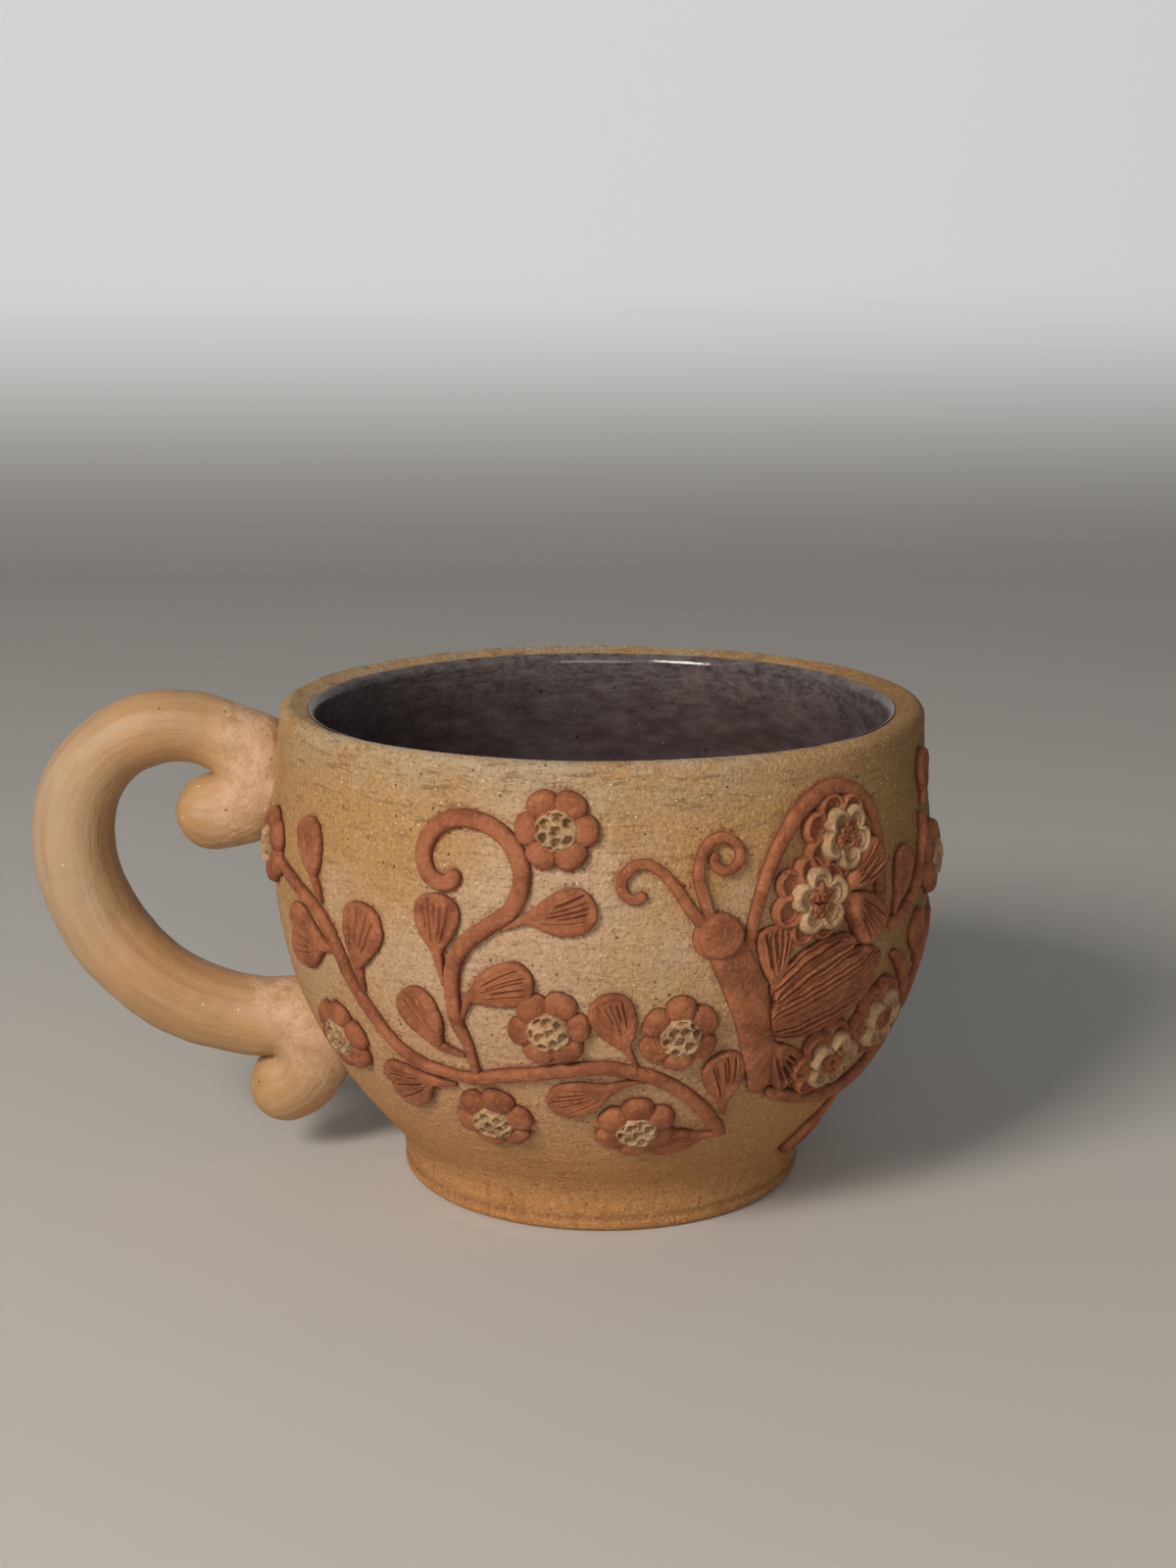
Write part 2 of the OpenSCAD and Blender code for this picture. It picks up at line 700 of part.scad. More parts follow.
// One cupped petal: a button pressed hollow on the side of the flower's middle
module cupped_petal(n, ring_r, diameter, height) {
    hollow_d = diameter * 0.62;
    difference() {
        petal_sector(n, ring_r, diameter, height) button(diameter, height);
        translate([-diameter * 0.12, 0, height + hollow_d * 0.18])
        sphere(d = hollow_d, $fn = round_fn);
    }
}

module wing_flower_frill(row) {
    ring_r = (frill_d - frill_petal_d) / 2;
    place = row[0] * relief_w;
    color("#a75f40") {
        ring_on_wall(place, frill_n, ring_r, row[1], row[2])
        cupped_petal(frill_n, ring_r, frill_petal_d, frill_t);
        seated(place)
        cylinder(h = frill_t, r = ring_r - frill_petal_d / 2 - seam, $fn = round_fn);
    }
}

module wing_flower_blossom(row) {
    ring_r = (blossom_d - blossom_petal_d) / 2;
    color("#d9bb8e")
    ring_on_wall(
        row[0] * relief_w, blossom_n, ring_r, row[1], all_of(blossom_n), frill_t + slip_gap
    )
    cupped_petal(blossom_n, ring_r, blossom_petal_d, blossom_t);
}

module wing_flower_hearts() {
    heart_r = (blossom_d - 2 * blossom_petal_d) / 2 - seam;
    color("#a75f40")
    for (row = wing_flower_shares)
        seated(row[0] * relief_w, frill_t + slip_gap)
        button(heart_r * 2, blossom_t);
}

module back_vines() {
    color("#a75f40") {
        coil(back_stem_shares, vine_w, vine_t, 2, blunt_shares);
        coil(back_vine_shares, vine_w, vine_t, 3, blunt_shares);
    }
}

module back_leaves() {
    color("#a75f40")
    for (row = back_leaf_shares) leaf(row);
}

module back_flower_petals() {
    color("#a75f40")
    for (row = back_flower_shares) flower_petals(row);
}

module back_flower_centres() {
    color("#d9bb8e")
    for (row = back_flower_shares) flower_centre(row);
}

bowl();
glaze_lining();
handle();
left_vine();
scroll_vine();
right_vine();
for (i = [1:front_leaf_n])
    color("#a75f40") leaf(leaf_shares[i - 1]);
for (i = [1:flower_n])
    color("#a75f40") flower_petals(flower_shares[i - 1]);
for (i = [1:flower_n])
    color("#d9bb8e") flower_centre(flower_shares[i - 1]);
butterfly_head();
butterfly_body();
left_feeler();
right_feeler();
upper_wing_rim();
lower_wing_rim();
upper_wing_pad();
lower_wing_pad();
for (i = [1:wing_leaf_n])
    color("#a75f40") leaf(wing_leaf_shares[i - 1]);
for (i = [1:wing_flower_n])
    wing_flower_frill(wing_flower_shares[i - 1]);
for (i = [1:wing_flower_n])
    wing_flower_blossom(wing_flower_shares[i - 1]);
wing_flower_hearts();
back_vines();
back_leaves();
back_flower_petals();
back_flower_centres();
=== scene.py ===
"""Looks of a hand-thrown stoneware mug with a scroll handle and luted relief.

Lengths are in millimetres and become metres where a mesh is made. A place in the relief
drawing is [along, up]: along is measured round the belly from the front centre line, to
the right, and up is the height above the table.
"""
from __future__ import annotations

import logging
import math
from dataclasses import dataclass, field
from enum import Enum
from typing import Any, Iterable, Sequence

import bpy
import numpy as np
from bpy.types import ID, Material, Mesh, Node, NodeSocket, NodeTree, Object
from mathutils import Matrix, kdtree, noise

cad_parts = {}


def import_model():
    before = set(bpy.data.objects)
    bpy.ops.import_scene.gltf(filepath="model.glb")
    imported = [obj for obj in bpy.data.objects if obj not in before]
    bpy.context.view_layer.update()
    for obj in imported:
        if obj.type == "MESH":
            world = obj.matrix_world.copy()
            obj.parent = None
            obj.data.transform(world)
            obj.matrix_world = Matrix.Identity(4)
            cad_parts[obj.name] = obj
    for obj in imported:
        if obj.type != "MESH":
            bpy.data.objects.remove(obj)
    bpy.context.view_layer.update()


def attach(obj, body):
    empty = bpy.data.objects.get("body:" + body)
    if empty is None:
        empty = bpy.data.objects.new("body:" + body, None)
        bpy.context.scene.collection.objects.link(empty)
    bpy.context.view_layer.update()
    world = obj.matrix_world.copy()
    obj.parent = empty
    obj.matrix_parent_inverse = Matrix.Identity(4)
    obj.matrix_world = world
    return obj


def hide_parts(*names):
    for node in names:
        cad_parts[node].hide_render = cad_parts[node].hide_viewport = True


LOG = logging.getLogger("mug")
MM = 0.001
BODY = "root"
# How far the underside of a luted piece is let into the wall, so that no light gets under it
SINK = 0.25
Place = Sequence[float]


class Slot(Enum):
    """The record's material slots."""

    TAN = "tan_clay"
    SMOOTH = "smooth_clay"
    RED = "red_clay"
    CREAM = "cream_clay"
    GLAZE = "dark_glaze"


def linear(hex_colour: str) -> tuple[float, float, float, float]:
    """Turns an sRGB hex colour to linear.

    Args:
        hex_colour: Six hex digits after a hash.

    Returns:
        The linear red, green and blue, and an alpha of 1.
    """
    levels = [int(hex_colour[i:i + 2], 16) / 255 for i in (1, 3, 5)]
    return (*(v / 12.92 if v <= 0.04045 else ((v + 0.055) / 1.055) ** 2.4 for v in levels), 1.0)


def per(size: float) -> float:
    """Scale of a pattern on object coordinates whose grain is this many millimetres."""
    return 1 / (size * MM)


def plug(tree: NodeTree, node: Node, inputs: dict) -> None:
    """Fills a node's inputs.

    Args:
        tree: The tree.
        node: Its node.
        inputs: For each input's name or number a value, a source socket, or a node, which stands
            for its first socket.
    """
    for name, value in inputs.items():
        if isinstance(value, Node):
            value = value.outputs[0]
        if isinstance(value, NodeSocket):
            tree.links.new(value, node.inputs[name])
        else:
            node.inputs[name].default_value = value


def add_node(tree: NodeTree, kind: str, inputs: dict | None = None, **settings: Any) -> Node:
    """Adds one node with its settings, values and links.

    Args:
        tree: The tree that gets the node.
        kind: The node's type name.
        inputs: What fills its inputs, as in plug.
        **settings: The node's own settings.

    Returns:
        The new node.
    """
    made = tree.nodes.new(kind)
    for name, value in settings.items():
        setattr(made, name, value)
    plug(tree, made, inputs or {})
    return made


def smooth(t: np.ndarray | float) -> np.ndarray:
    """Eases from 0 to 1, and stays there outside."""
    t = np.clip(t, 0, 1)
    return t * t * (3 - 2 * t)


def step(low: float, high: float, value: np.ndarray) -> np.ndarray:
    """Eases from 0 at low to 1 at high."""
    return smooth((value - low) / (high - low))


def lumps(points: np.ndarray, size: float, seed: float = 0.0) -> np.ndarray:
    """Smooth noise, about -1 to 1.

    Args:
        points: Points as (..., 3), in millimetres.
        size: Size of one lump, in millimetres.
        seed: Moves the pattern.

    Returns:
        One value a point.
    """
    flat = (points.reshape(-1, 3) / size + seed * 7.31).tolist()
    values = np.fromiter((noise.noise(p) for p in flat), float, len(flat))
    return values.reshape(points.shape[:-1])


def curve(points: Sequence[Place], steps: int) -> np.ndarray:
    """A smooth line through given points.

    Args:
        points: The points that the line passes through.
        steps: Steps from each point to the next.

    Returns:
        The line's points.
    """
    p = np.array(points, float)
    t = np.linspace(0, 1, steps, endpoint=False)[:, None]
    out = []
    for i in range(len(p) - 1):
        a, b, c, d = p[max(0, i - 1)], p[i], p[i + 1], p[min(len(p) - 1, i + 2)]
        bend = (2 * a - 5 * b + 4 * c - d) / 2 + t * (3 * b - a - 3 * c + d) / 2
        out.append(b + t * ((c - a) / 2 + t * bend))
    return np.vstack([*out, p[-1:]])


def unit(v: np.ndarray) -> np.ndarray:
    """Vectors at length 1."""
    return v / np.maximum(np.linalg.norm(v, axis=-1, keepdims=True), 1e-12)


def lengths(line: np.ndarray) -> np.ndarray:
    """How far along a line each of its points is."""
    return np.concatenate([[0], np.cumsum(np.linalg.norm(np.diff(line, axis=0), axis=1))])


def closed(values: np.ndarray) -> np.ndarray:
    """Values at the points of a ring solid, with 0 at its two end points."""
    return np.concatenate([values.ravel(), [0, 0]])


@dataclass
class Wall:
    """The bowl's turned wall, which the relief and the handle sit on."""

    height: float = 76.0
    rim_r: float = 50.0
    belly_r: float = 51.5
    belly_z: float = 53.0
    shoulder_h: float = 20.0
    foot_r: float = 31.8
    foot_h: float = 6.5
    neck_reach: float = 3.0
    hip_power: float = 2.25
    thickness: float = 5.2

    def radius(self, z: np.ndarray | float) -> np.ndarray:
        """Outer radius at a height.

        Args:
            z: The height or heights.

        Returns:
            The radius at each.
        """
        z = np.asarray(z, float)
        u, reach = z - self.foot_h, self.neck_reach
        rise = np.where(u < -reach, 0, np.where(u > reach, u, (u + reach) ** 2 / (4 * reach)))
        left = np.clip(1 - rise / (self.belly_z - self.foot_h), 0, 1)
        low = self.foot_r + (self.belly_r - self.foot_r) * (1 - left ** self.hip_power)
        high = self.belly_r - (self.belly_r - self.rim_r) * smooth((z - self.belly_z) / self.shoulder_h)
        return np.where(z < self.belly_z, low, high)

    def slope(self, z: np.ndarray | float) -> np.ndarray:
        """Change of the radius with height."""
        h = self.height / 500
        return (self.radius(np.asarray(z) + h) - self.radius(np.asarray(z) - h)) / (2 * h)

    def inner(self, z: np.ndarray | float) -> np.ndarray:
        """Inner radius at a height, the wall's thickness in from the outer one."""
        return self.radius(z) - self.thickness * np.sqrt(1 + self.slope(z) ** 2)

    def normal(self, along: np.ndarray, up: np.ndarray) -> np.ndarray:
        """Outward normals at places in the drawing."""
        a, m = along / self.belly_r, self.slope(up)
        return unit(np.stack([np.sin(a), -np.cos(a), -m], -1))

    def point(self, along: np.ndarray, up: np.ndarray, lift: np.ndarray | float = 0) -> np.ndarray:
        """Points on the wall at places in the drawing, lifted off it.

        Args:
            along: Places round the belly.
            up: Heights above the table.
            lift: Distance off the wall.

        Returns:
            Points as (..., 3).
        """
        a, r = along / self.belly_r, self.radius(up)
        base = np.stack([r * np.sin(a), -r * np.cos(a), np.asarray(up, float)], -1)
        return base + np.asarray(lift)[..., None] * self.normal(along, up)

    def laid(self, place: np.ndarray, right: np.ndarray, up: np.ndarray,
             lift: np.ndarray | float) -> np.ndarray:
        """Points laid on the wall by true lengths from a place in the drawing.

        Args:
            place: The place as (..., 2).
            right: True distance to the right.
            up: True distance up along the wall.
            lift: Height off the wall.

        Returns:
            Points as (..., 3).
        """
        stretch = np.sqrt(1 + self.slope(place[..., 1]) ** 2)
        height = place[..., 1] + up / stretch
        stretch = np.sqrt(1 + self.slope(height) ** 2)
        narrow = self.radius(height) / self.belly_r
        return self.point(place[..., 0] + right / narrow, place[..., 1] + up / stretch, lift)

    def way(self, line: np.ndarray) -> np.ndarray:
        """True directions along a line of places.

        Args:
            line: The places as (n, 2).

        Returns:
            A flat unit vector for each.
        """
        ahead = np.gradient(line, axis=0)
        stretch = np.sqrt(1 + self.slope(line[:, 1]) ** 2)
        narrow = self.radius(line[:, 1]) / self.belly_r
        return unit(ahead * np.stack([narrow, stretch], -1))


def linked(name: str, data: ID) -> Object:
    """A new object of the scene that holds a mesh, a lamp or a camera.

    Args:
        name: The object's name.
        data: What it holds.

    Returns:
        The object.
    """
    made = bpy.data.objects.new(name, data)
    bpy.context.scene.collection.objects.link(made)
    return made


def mesh_object(name: str, points: np.ndarray, faces: Sequence[Sequence[int]],
                material: Material | None) -> Object:
    """Makes a smooth object from points in millimetres, facing out.

    Args:
        name: The object's name.
        points: Points as (n, 3).
        faces: Corner numbers of each face.
        material: The finish, or none.

    Returns:
        The linked object, at the origin.
    """
    mesh = bpy.data.meshes.new(name)
    mesh.from_pydata((np.asarray(points) * MM).tolist(), [], [list(f) for f in faces])
    mesh.update()
    if signed_volume(mesh) < 0:
        mesh.flip_normals()
    mesh.shade_smooth()
    if material:
        mesh.materials.append(material)
    return linked(name, mesh)


def signed_volume(mesh: Mesh) -> float:
    """Volume inside a closed mesh, below zero where its faces point in.

    Args:
        mesh: The mesh.

    Returns:
        The volume in cubic metres.
    """
    mesh.calc_loop_triangles()
    co = np.empty(len(mesh.vertices) * 3)
    mesh.vertices.foreach_get("co", co)
    tri = np.empty(len(mesh.loop_triangles) * 3, np.int32)
    mesh.loop_triangles.foreach_get("vertices", tri)
    a, b, c = co.reshape(-1, 3)[tri.reshape(-1, 3)].transpose(1, 0, 2)
    return float(np.einsum("ij,ij->i", a, np.cross(b, c)).sum() / 6)


def ring_faces(n: int, m: int) -> list[list[int]]:
    """Faces of a closed skin over n rings of m points, whose two end points come last.

    Args:
        n: How many rings.
        m: Points a ring.

    Returns:
        Each face's corner numbers.
    """
    i, k = np.meshgrid(np.arange(n - 1), np.arange(m), indexing="ij")
    a, b = i * m + k, i * m + (k + 1) % m
    quads = np.stack([a, b, b + m, a + m], -1).reshape(-1, 4).tolist()
    last = (n - 1) * m
    first_fan = [[(j + 1) % m, j, n * m] for j in range(m)]
    last_fan = [[last + j, last + (j + 1) % m, n * m + 1] for j in range(m)]
    return quads + first_fan + last_fan


def ring_solid(name: str, rings: np.ndarray, material: Material | None) -> Object:
    """A closed solid skinned over rings of points.

    Args:
        name: The object's name.
        rings: Points as (rings, points a ring, 3).
        material: The finish.

    Returns:
        The object.
    """
    ends = rings[[0, -1]].mean(axis=1)
    points = np.vstack([rings.reshape(-1, 3), ends])
    return mesh_object(name, points, ring_faces(*rings.shape[:2]), material)


def joined(name: str, parts: Sequence[Object]) -> Object:
    """Joins objects into one mesh under a new name.

    Args:
        name: The new name.
        parts: The objects, whose first one stays.

    Returns:
        The joined object.
    """
    with bpy.context.temp_override(active_object=parts[0], selected_editable_objects=list(parts)):
        bpy.ops.object.join()
    parts[0].name = name
    parts[0].data.name = name
    return parts[0]


def coordinates(piece: Object) -> np.ndarray:
    """A mesh's points in millimetres.

    Args:
        piece: The object.

    Returns:
        Points as (n, 3).
    """
    co = np.empty(len(piece.data.vertices) * 3)
    piece.data.vertices.foreach_get("co", co)
    return co.reshape(-1, 3) / MM


def set_coordinates(piece: Object, points: np.ndarray) -> None:
    """Moves a mesh's points, given in millimetres."""
    piece.data.vertices.foreach_set("co", (points * MM).ravel())
    piece.data.update()


def paint(piece: Object, name: str, values: np.ndarray) -> None:
    """Stores a number or a vector at each point for the materials to read.

    Args:
        piece: The object.
        name: The name that the material reads.
        values: One row for each point.
    """
    kind, key = ("FLOAT", "value") if values.ndim == 1 else ("FLOAT_VECTOR", "vector")
    layer = piece.data.attributes.new(name, kind, "POINT")
    layer.data.foreach_set(key, values.astype(np.float32).ravel())


def seat(piece: Object, slot: Slot, *nodes: str) -> Object:
    """Puts a finished piece on the mug's body and hides the solids that it stands for.

    Args:
        piece: The piece.
        slot: Its material slot; not used.
        *nodes: The nodes that it replaces.

    Returns:
        The same piece.
    """
    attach(piece, BODY)
    if nodes:
        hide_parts(*nodes)
    LOG.info("%s: %d faces", piece.name, len(piece.data.polygons))
    return piece


class Grown:
    """A Geometry Nodes tree with named inputs, and the plain meshes it grows."""

    def __init__(self, name: str, **sizes: float | int) -> None:
        """Makes the tree with inputs for its geometry, its sizes and its material.

        Args:
            name: The tree's name.
            **sizes: Default values by the input's name, whole ones for a count or a seed.
        """
        self.tree = bpy.data.node_groups.new(name, "GeometryNodeTree")
        face = self.tree.interface
        face.new_socket("Geometry", in_out="INPUT", socket_type="NodeSocketGeometry")
        face.new_socket("Geometry", in_out="OUTPUT", socket_type="NodeSocketGeometry")
        self.sockets = {}
        for label, value in sizes.items():
            kind = "NodeSocketInt" if isinstance(value, int) else "NodeSocketFloat"
            socket = face.new_socket(label, in_out="INPUT", socket_type=kind)
            socket.default_value = value
            self.sockets[label] = socket.identifier
        socket = face.new_socket("Material", in_out="INPUT", socket_type="NodeSocketMaterial")
        self.sockets["Material"] = socket.identifier
        self.source = add_node(self.tree, "NodeGroupInput")
        self.out = add_node(self.tree, "NodeGroupOutput")

    def __getitem__(self, label: str) -> NodeSocket:
        """The socket that gives one of the tree's inputs."""
        return self.source.outputs[label]

    def add(self, kind: str, inputs: dict | None = None, **settings: Any) -> Node:
        """Adds one node to this tree."""
        return add_node(self.tree, kind, inputs, **settings)

    def around(self, points: Node, angle: Any, reach: Any) -> Node:
        """Spreads points round a centre.

        Args:
            points: The node that makes them.
            angle: Each one's turn from up, clockwise.
            reach: Each one's distance from the centre.

        Returns:
            The node with the moved points.
        """
        sine = self.add("ShaderNodeMath", {0: angle}, operation="SINE")
        cosine = self.add("ShaderNodeMath", {0: angle}, operation="COSINE")
        way = self.add("ShaderNodeCombineXYZ", {"X": sine, "Y": cosine})
        there = self.add("ShaderNodeVectorMath", {0: way, 3: reach}, operation="SCALE")
        return self.add("GeometryNodeSetPosition", {"Geometry": points, "Position": there})

    def finish(self, geometry: Node) -> None:
        """Ends the tree in Realize Instances, Set Shade Smooth and Set Material.

        Args:
            geometry: The node that gives the tree's result.
        """
        real = self.add("GeometryNodeRealizeInstances", {"Geometry": geometry})
        shaded = self.add("GeometryNodeSetShadeSmooth", {0: real})
        dressed = self.add("GeometryNodeSetMaterial", {"Geometry": shaded, "Material": self["Material"]})
        plug(self.tree, self.out, {0: dressed})

    def grow(self, holder: Object, **sizes: Any) -> Object:
        """Turns the holder into the tree's result.

        Args:
            holder: The object whose mesh the tree starts from.
            **sizes: Values by the input's name.

        Returns:
            The same object with the grown mesh and no modifier.
        """
        modifier = holder.modifiers.new(self.tree.name, "NODES")
        modifier.node_group = self.tree
        for label, value in sizes.items():
            modifier[self.sockets[label]] = value
        graph = bpy.context.evaluated_depsgraph_get()
        mesh = bpy.data.meshes.new_from_object(holder.evaluated_get(graph))
        holder.modifiers.remove(modifier)
        old, holder.data = holder.data, mesh
        bpy.data.meshes.remove(old)
        mesh.name = holder.name
        if signed_volume(mesh) < 0:
            mesh.flip_normals()
        return holder


class Coat:
    """A finish while it is built: one material, its patterns, and its layers of colour and relief."""

    def __init__(self, name: str) -> None:
        """Starts a material whose patterns are laid out on the piece's own coordinates.

        Args:
            name: The material's name.
        """
        self.material = bpy.data.materials.new(name)
        self.material.use_nodes = True
        self.tree = self.material.node_tree
        self.place = self.add("ShaderNodeTexCoord").outputs["Object"]
        parts = self.add("ShaderNodeSeparateXYZ", {0: self.place})
        self.across, self.high = parts.outputs["X"], parts.outputs["Z"]

    def add(self, kind: str, inputs: dict | None = None, **settings: Any) -> Node:
        """Adds one node to the material."""
        return add_node(self.tree, kind, inputs, **settings)

    def clouds(self, size: float, detail: float, rough: float = 0.5, stretch: Sequence[float] = (1, 1, 1),
               at: NodeSocket | None = None) -> Node:
        """An uneven, cloudy or streaky pattern.

        Args:
            size: Size of a cloud in millimetres.
            detail: How many finer layers it has.
            rough: How strong these are.
            stretch: Less than 1 on an axis draws the pattern out along it.
            at: Other coordinates than the piece's own.

        Returns:
            The pattern's node.
        """
        drawn = self.add("ShaderNodeMapping", {"Vector": at or self.place, "Scale": stretch})
        return self.add("ShaderNodeTexNoise",
                        {"Vector": drawn, "Scale": per(size), "Detail": detail, "Roughness": rough})

    def flecks(self, spacing: float, share: float, rarity: float) -> Node:
        """Scattered grains.

        Args:
            spacing: Distance between grains in millimetres.
            share: Radius of a grain as a share of the spacing.
            rarity: Share of the grains that is left out.

        Returns:
            A mask: 1 on a grain and 0 beside it.
        """
        cells = self.add("ShaderNodeTexVoronoi", {"Vector": self.place, "Scale": per(spacing)})
        pick = self.add("ShaderNodeSeparateColor", {0: cells.outputs["Color"]})
        kept = self.add("ShaderNodeMath", {0: pick, 1: rarity}, operation="GREATER_THAN")
        return self.amount(1, (cells.outputs["Distance"], share * 1.3, share * 0.7), kept)

    def amount(self, strength: float, *masks: Any) -> Node:
        """Multiplies a strength by masks.

        Args:
            strength: The most that it can be.
            *masks: Each a value, a value that eases from 0 at one level to 1 at another, or one
                that runs straight between two levels from one number to another.

        Returns:
            The node with the product.
        """
        product = strength
        for mask in masks:
            if isinstance(mask, tuple):
                value, low, high, *ends = mask
                start, end = ends or (0, 1)
                mask = self.add("ShaderNodeMapRange",
                                {"Value": value, "From Min": low, "From Max": high, "To Min": start,
                                 "To Max": end}, interpolation_type="LINEAR" if ends else "SMOOTHSTEP")
            product = self.add("ShaderNodeMath", {0: product, 1: mask}, operation="MULTIPLY")
        return product

    def layered(self, base: str, *rows: tuple) -> NodeSocket:
        """Lays colours over one another.

        Args:
            base: The lowest colour.
            *rows: From the bottom up, a colour, its strength, and its masks as in amount.

        Returns:
            The colour that shows.
        """
        colour: Any = linear(base)
        for over, strength, *masks in rows:
            mix = self.add("ShaderNodeMix", {0: self.amount(strength, *masks), 6: colour, 7: linear(over)},
                           data_type="RGBA")
            colour = mix.outputs[2]
        return colour

    def finish(self, inputs: dict, *bumps: tuple) -> Material:
        """Fills the shader, and puts the relief on it.

        Args:
            inputs: What fills the shader's inputs, as in plug.
            *bumps: From the bottom up, a pattern and its real depth in millimetres.

        Returns:
            The finished material.
        """
        under = {}
        for height, depth in bumps:
            bump = self.add("ShaderNodeBump", {"Height": height, "Distance": depth * MM, **under})
            under = {"Normal": bump}
        plug(self.tree, self.tree.nodes["Principled BSDF"], {**inputs, **under})
        return self.material


@dataclass(frozen=True)
class Stoneware:
    """Bare, thrown and turned stoneware: matt, sandy, with pale and dark grog showing."""

    name: str = "turned_speckled_stoneware"
    sand: str = "#c4a180"
    gold_and_side_shade: str = "#b78b57"
    ash: str = "#b3a38a"
    foot: str = "#bb824b"
    right_side_shade: str = "#8c6431"
    rust: str = "#9c5f2c"
    rusty_band: str = "#a06a38"
    toolmark_shade: str = "#7d4f2b"
    comb: str = "#7b5c3d"
    dark_sand: str = "#7e5b3b"
    light_sand: str = "#d6bb95"
    slip: str = "#93543a"
    lute: str = "#bd9468"
    pale_grog: str = "#e0cda8"
    dark_grog: str = "#3d2f22"
    roughness: float = 0.84
    specular: float = 0.3

    def material(self) -> Material:
        """Builds the bowl's finish: dusty tan, clouded to gold and ash at the rim, orange at the foot, with
        painted shade towards both sides.

        Returns:
            The material.
        """
        coat = Coat(self.name)
        high = coat.high
        # Wide clouds of golden and paler clay, from wet hands
        wide, patch = coat.clouds(26, 3, 0.55), coat.clouds(6, 6, 0.68)
        # Painted shade: the clay is drawn more golden and darker towards both sides, most on the right
        aside = coat.add("ShaderNodeMath", {0: coat.across, 1: 12 * MM}, operation="ADD")
        out = coat.add("ShaderNodeMath", {0: aside}, operation="ABSOLUTE")
        side_shade = coat.amount(1, (out, 5 * MM, 42 * MM, -0.09, 0.22))
        # Near the rim the gold is the clay's own
        top = coat.amount(1, (high, 44 * MM, 74 * MM, 0, 0.34))
        rim_gold_and_side_shade = coat.add("ShaderNodeMath", {0: side_shade, 1: top}, operation="ADD")
        lean = coat.add("ShaderNodeMath", {0: wide, 1: rim_gold_and_side_shade}, operation="ADD")
        broken = coat.add("ShaderNodeMath", {0: patch, 1: 0.35, 2: lean}, operation="MULTIPLY_ADD")
        # Throwing lines run round the bowl, so their grain is long sideways and short in height
        line = coat.clouds(0.8, 5, 0.7, (0.14, 0.14, 1))
        # Sand grain, drawn at about 0.6 mm so that it shows in the render
        grain, worn = coat.clouds(0.6, 4, 0.75), coat.clouds(1.5, 4, 0.7)
        luted = coat.add("ShaderNodeAttribute", attribute_name="lute").outputs["Fac"]
        pale = coat.flecks(1.15, 0.15, 0.52)
        colour = coat.layered(
            self.sand,
            (self.gold_and_side_shade, 1, (broken, 0.66, 1)),
            # The pale ash thins out towards both sides, which also paints shade there
            (self.ash, 1, (high, 67 * MM, 77 * MM, 0, 0.85), (patch, 0.32, 0.6),
             (out, 24 * MM, 42 * MM, 1, 0.25)),
            # Painted shade on the right side, where the wall turns from the light
            (self.right_side_shade, 0.75, (coat.across, 30 * MM, 50 * MM)),
            (self.foot, 1, (high, 43 * MM, 12 * MM, 0, 0.92)),
            *self.drips(coat),
            (self.comb, 1, (line, 0.52, 0.66), (high, 52 * MM, 71 * MM, 0.24, 0.72)),
            (self.dark_sand, 0.46, (grain, 0.52, 0.63)),
            (self.light_sand, 0.38, (grain, 0.46, 0.36)),
            (self.slip, 1, self.smears(coat, patch)),
            (self.lute, 0.75, (luted, 0.1, 0.8)),
            (self.pale_grog, 1, pale, (high, 6 * MM, 26 * MM, 0.26, 0.68)),
            (self.dark_grog, 0.8, coat.flecks(1.9, 0.11, 0.6)),
            (self.dark_grog, 0.5, coat.flecks(0.7, 0.2, 0.72)),
        )
        return coat.finish({"Base Color": colour, "Roughness": self.roughness,
                            "Specular IOR Level": self.specular},
                           (worn, 0.42), (grain, 0.5), (line, 0.2), (pale, 0.04))

    def drips(self, coat: Coat) -> tuple:
        """Rusty drips and bands on the turned foot, and painted shade in the toolmark's groove just above its
        edge.

        Args:
            coat: The finish that is being built.

        Returns:
            Their layers of colour.
        """
        drip, band = coat.clouds(1.5, 3, stretch=(1, 1, 0.2)), coat.clouds(2.2, 4, stretch=(0.12, 0.12, 1))
        foot = (coat.high, 19 * MM, 7 * MM)
        return ((self.rust, 0.45, (drip, 0.55, 0.7), foot),
                (self.rusty_band, 0.25, (band, 0.45, 0.62), foot),
                # Painted shade in the groove that the turning tool cut just above the foot's edge
                (self.toolmark_shade, 0.5, (coat.high, 1.5 * MM, 2.3 * MM), (coat.high, 3.2 * MM, 2.4 * MM)))

    @staticmethod
    def smears(coat: Coat, patch: Node) -> Node:
        """Red slip that was dragged over the wall beside the relief, in broken streaks and crumbs.

        Args:
            coat: The finish that is being built.
            patch: The pattern that breaks it up.

        Returns:
            How much of it there is.
        """
        near = coat.add("ShaderNodeAttribute", attribute_name="slip").outputs["Fac"]
        drag, gate = coat.clouds(0.8, 5, 0.8), coat.clouds(9, 1)
        rough = coat.add("ShaderNodeMath", {0: drag, 1: 0.7, 2: near}, operation="MULTIPLY_ADD")
        broken = coat.add("ShaderNodeMath", {0: patch, 1: 0.6, 2: rough}, operation="MULTIPLY_ADD")
        amount = coat.amount(1, (broken, 1.1, 1.55), (gate, 0.4, 0.6))
        crumbs = coat.amount(0.65, coat.flecks(0.8, 0.32, 0.4), (near, 0.35, 0.6))
        return coat.add("ShaderNodeMath", {0: amount, 1: 0.55, 2: crumbs}, operation="MULTIPLY_ADD",
                        use_clamp=True)


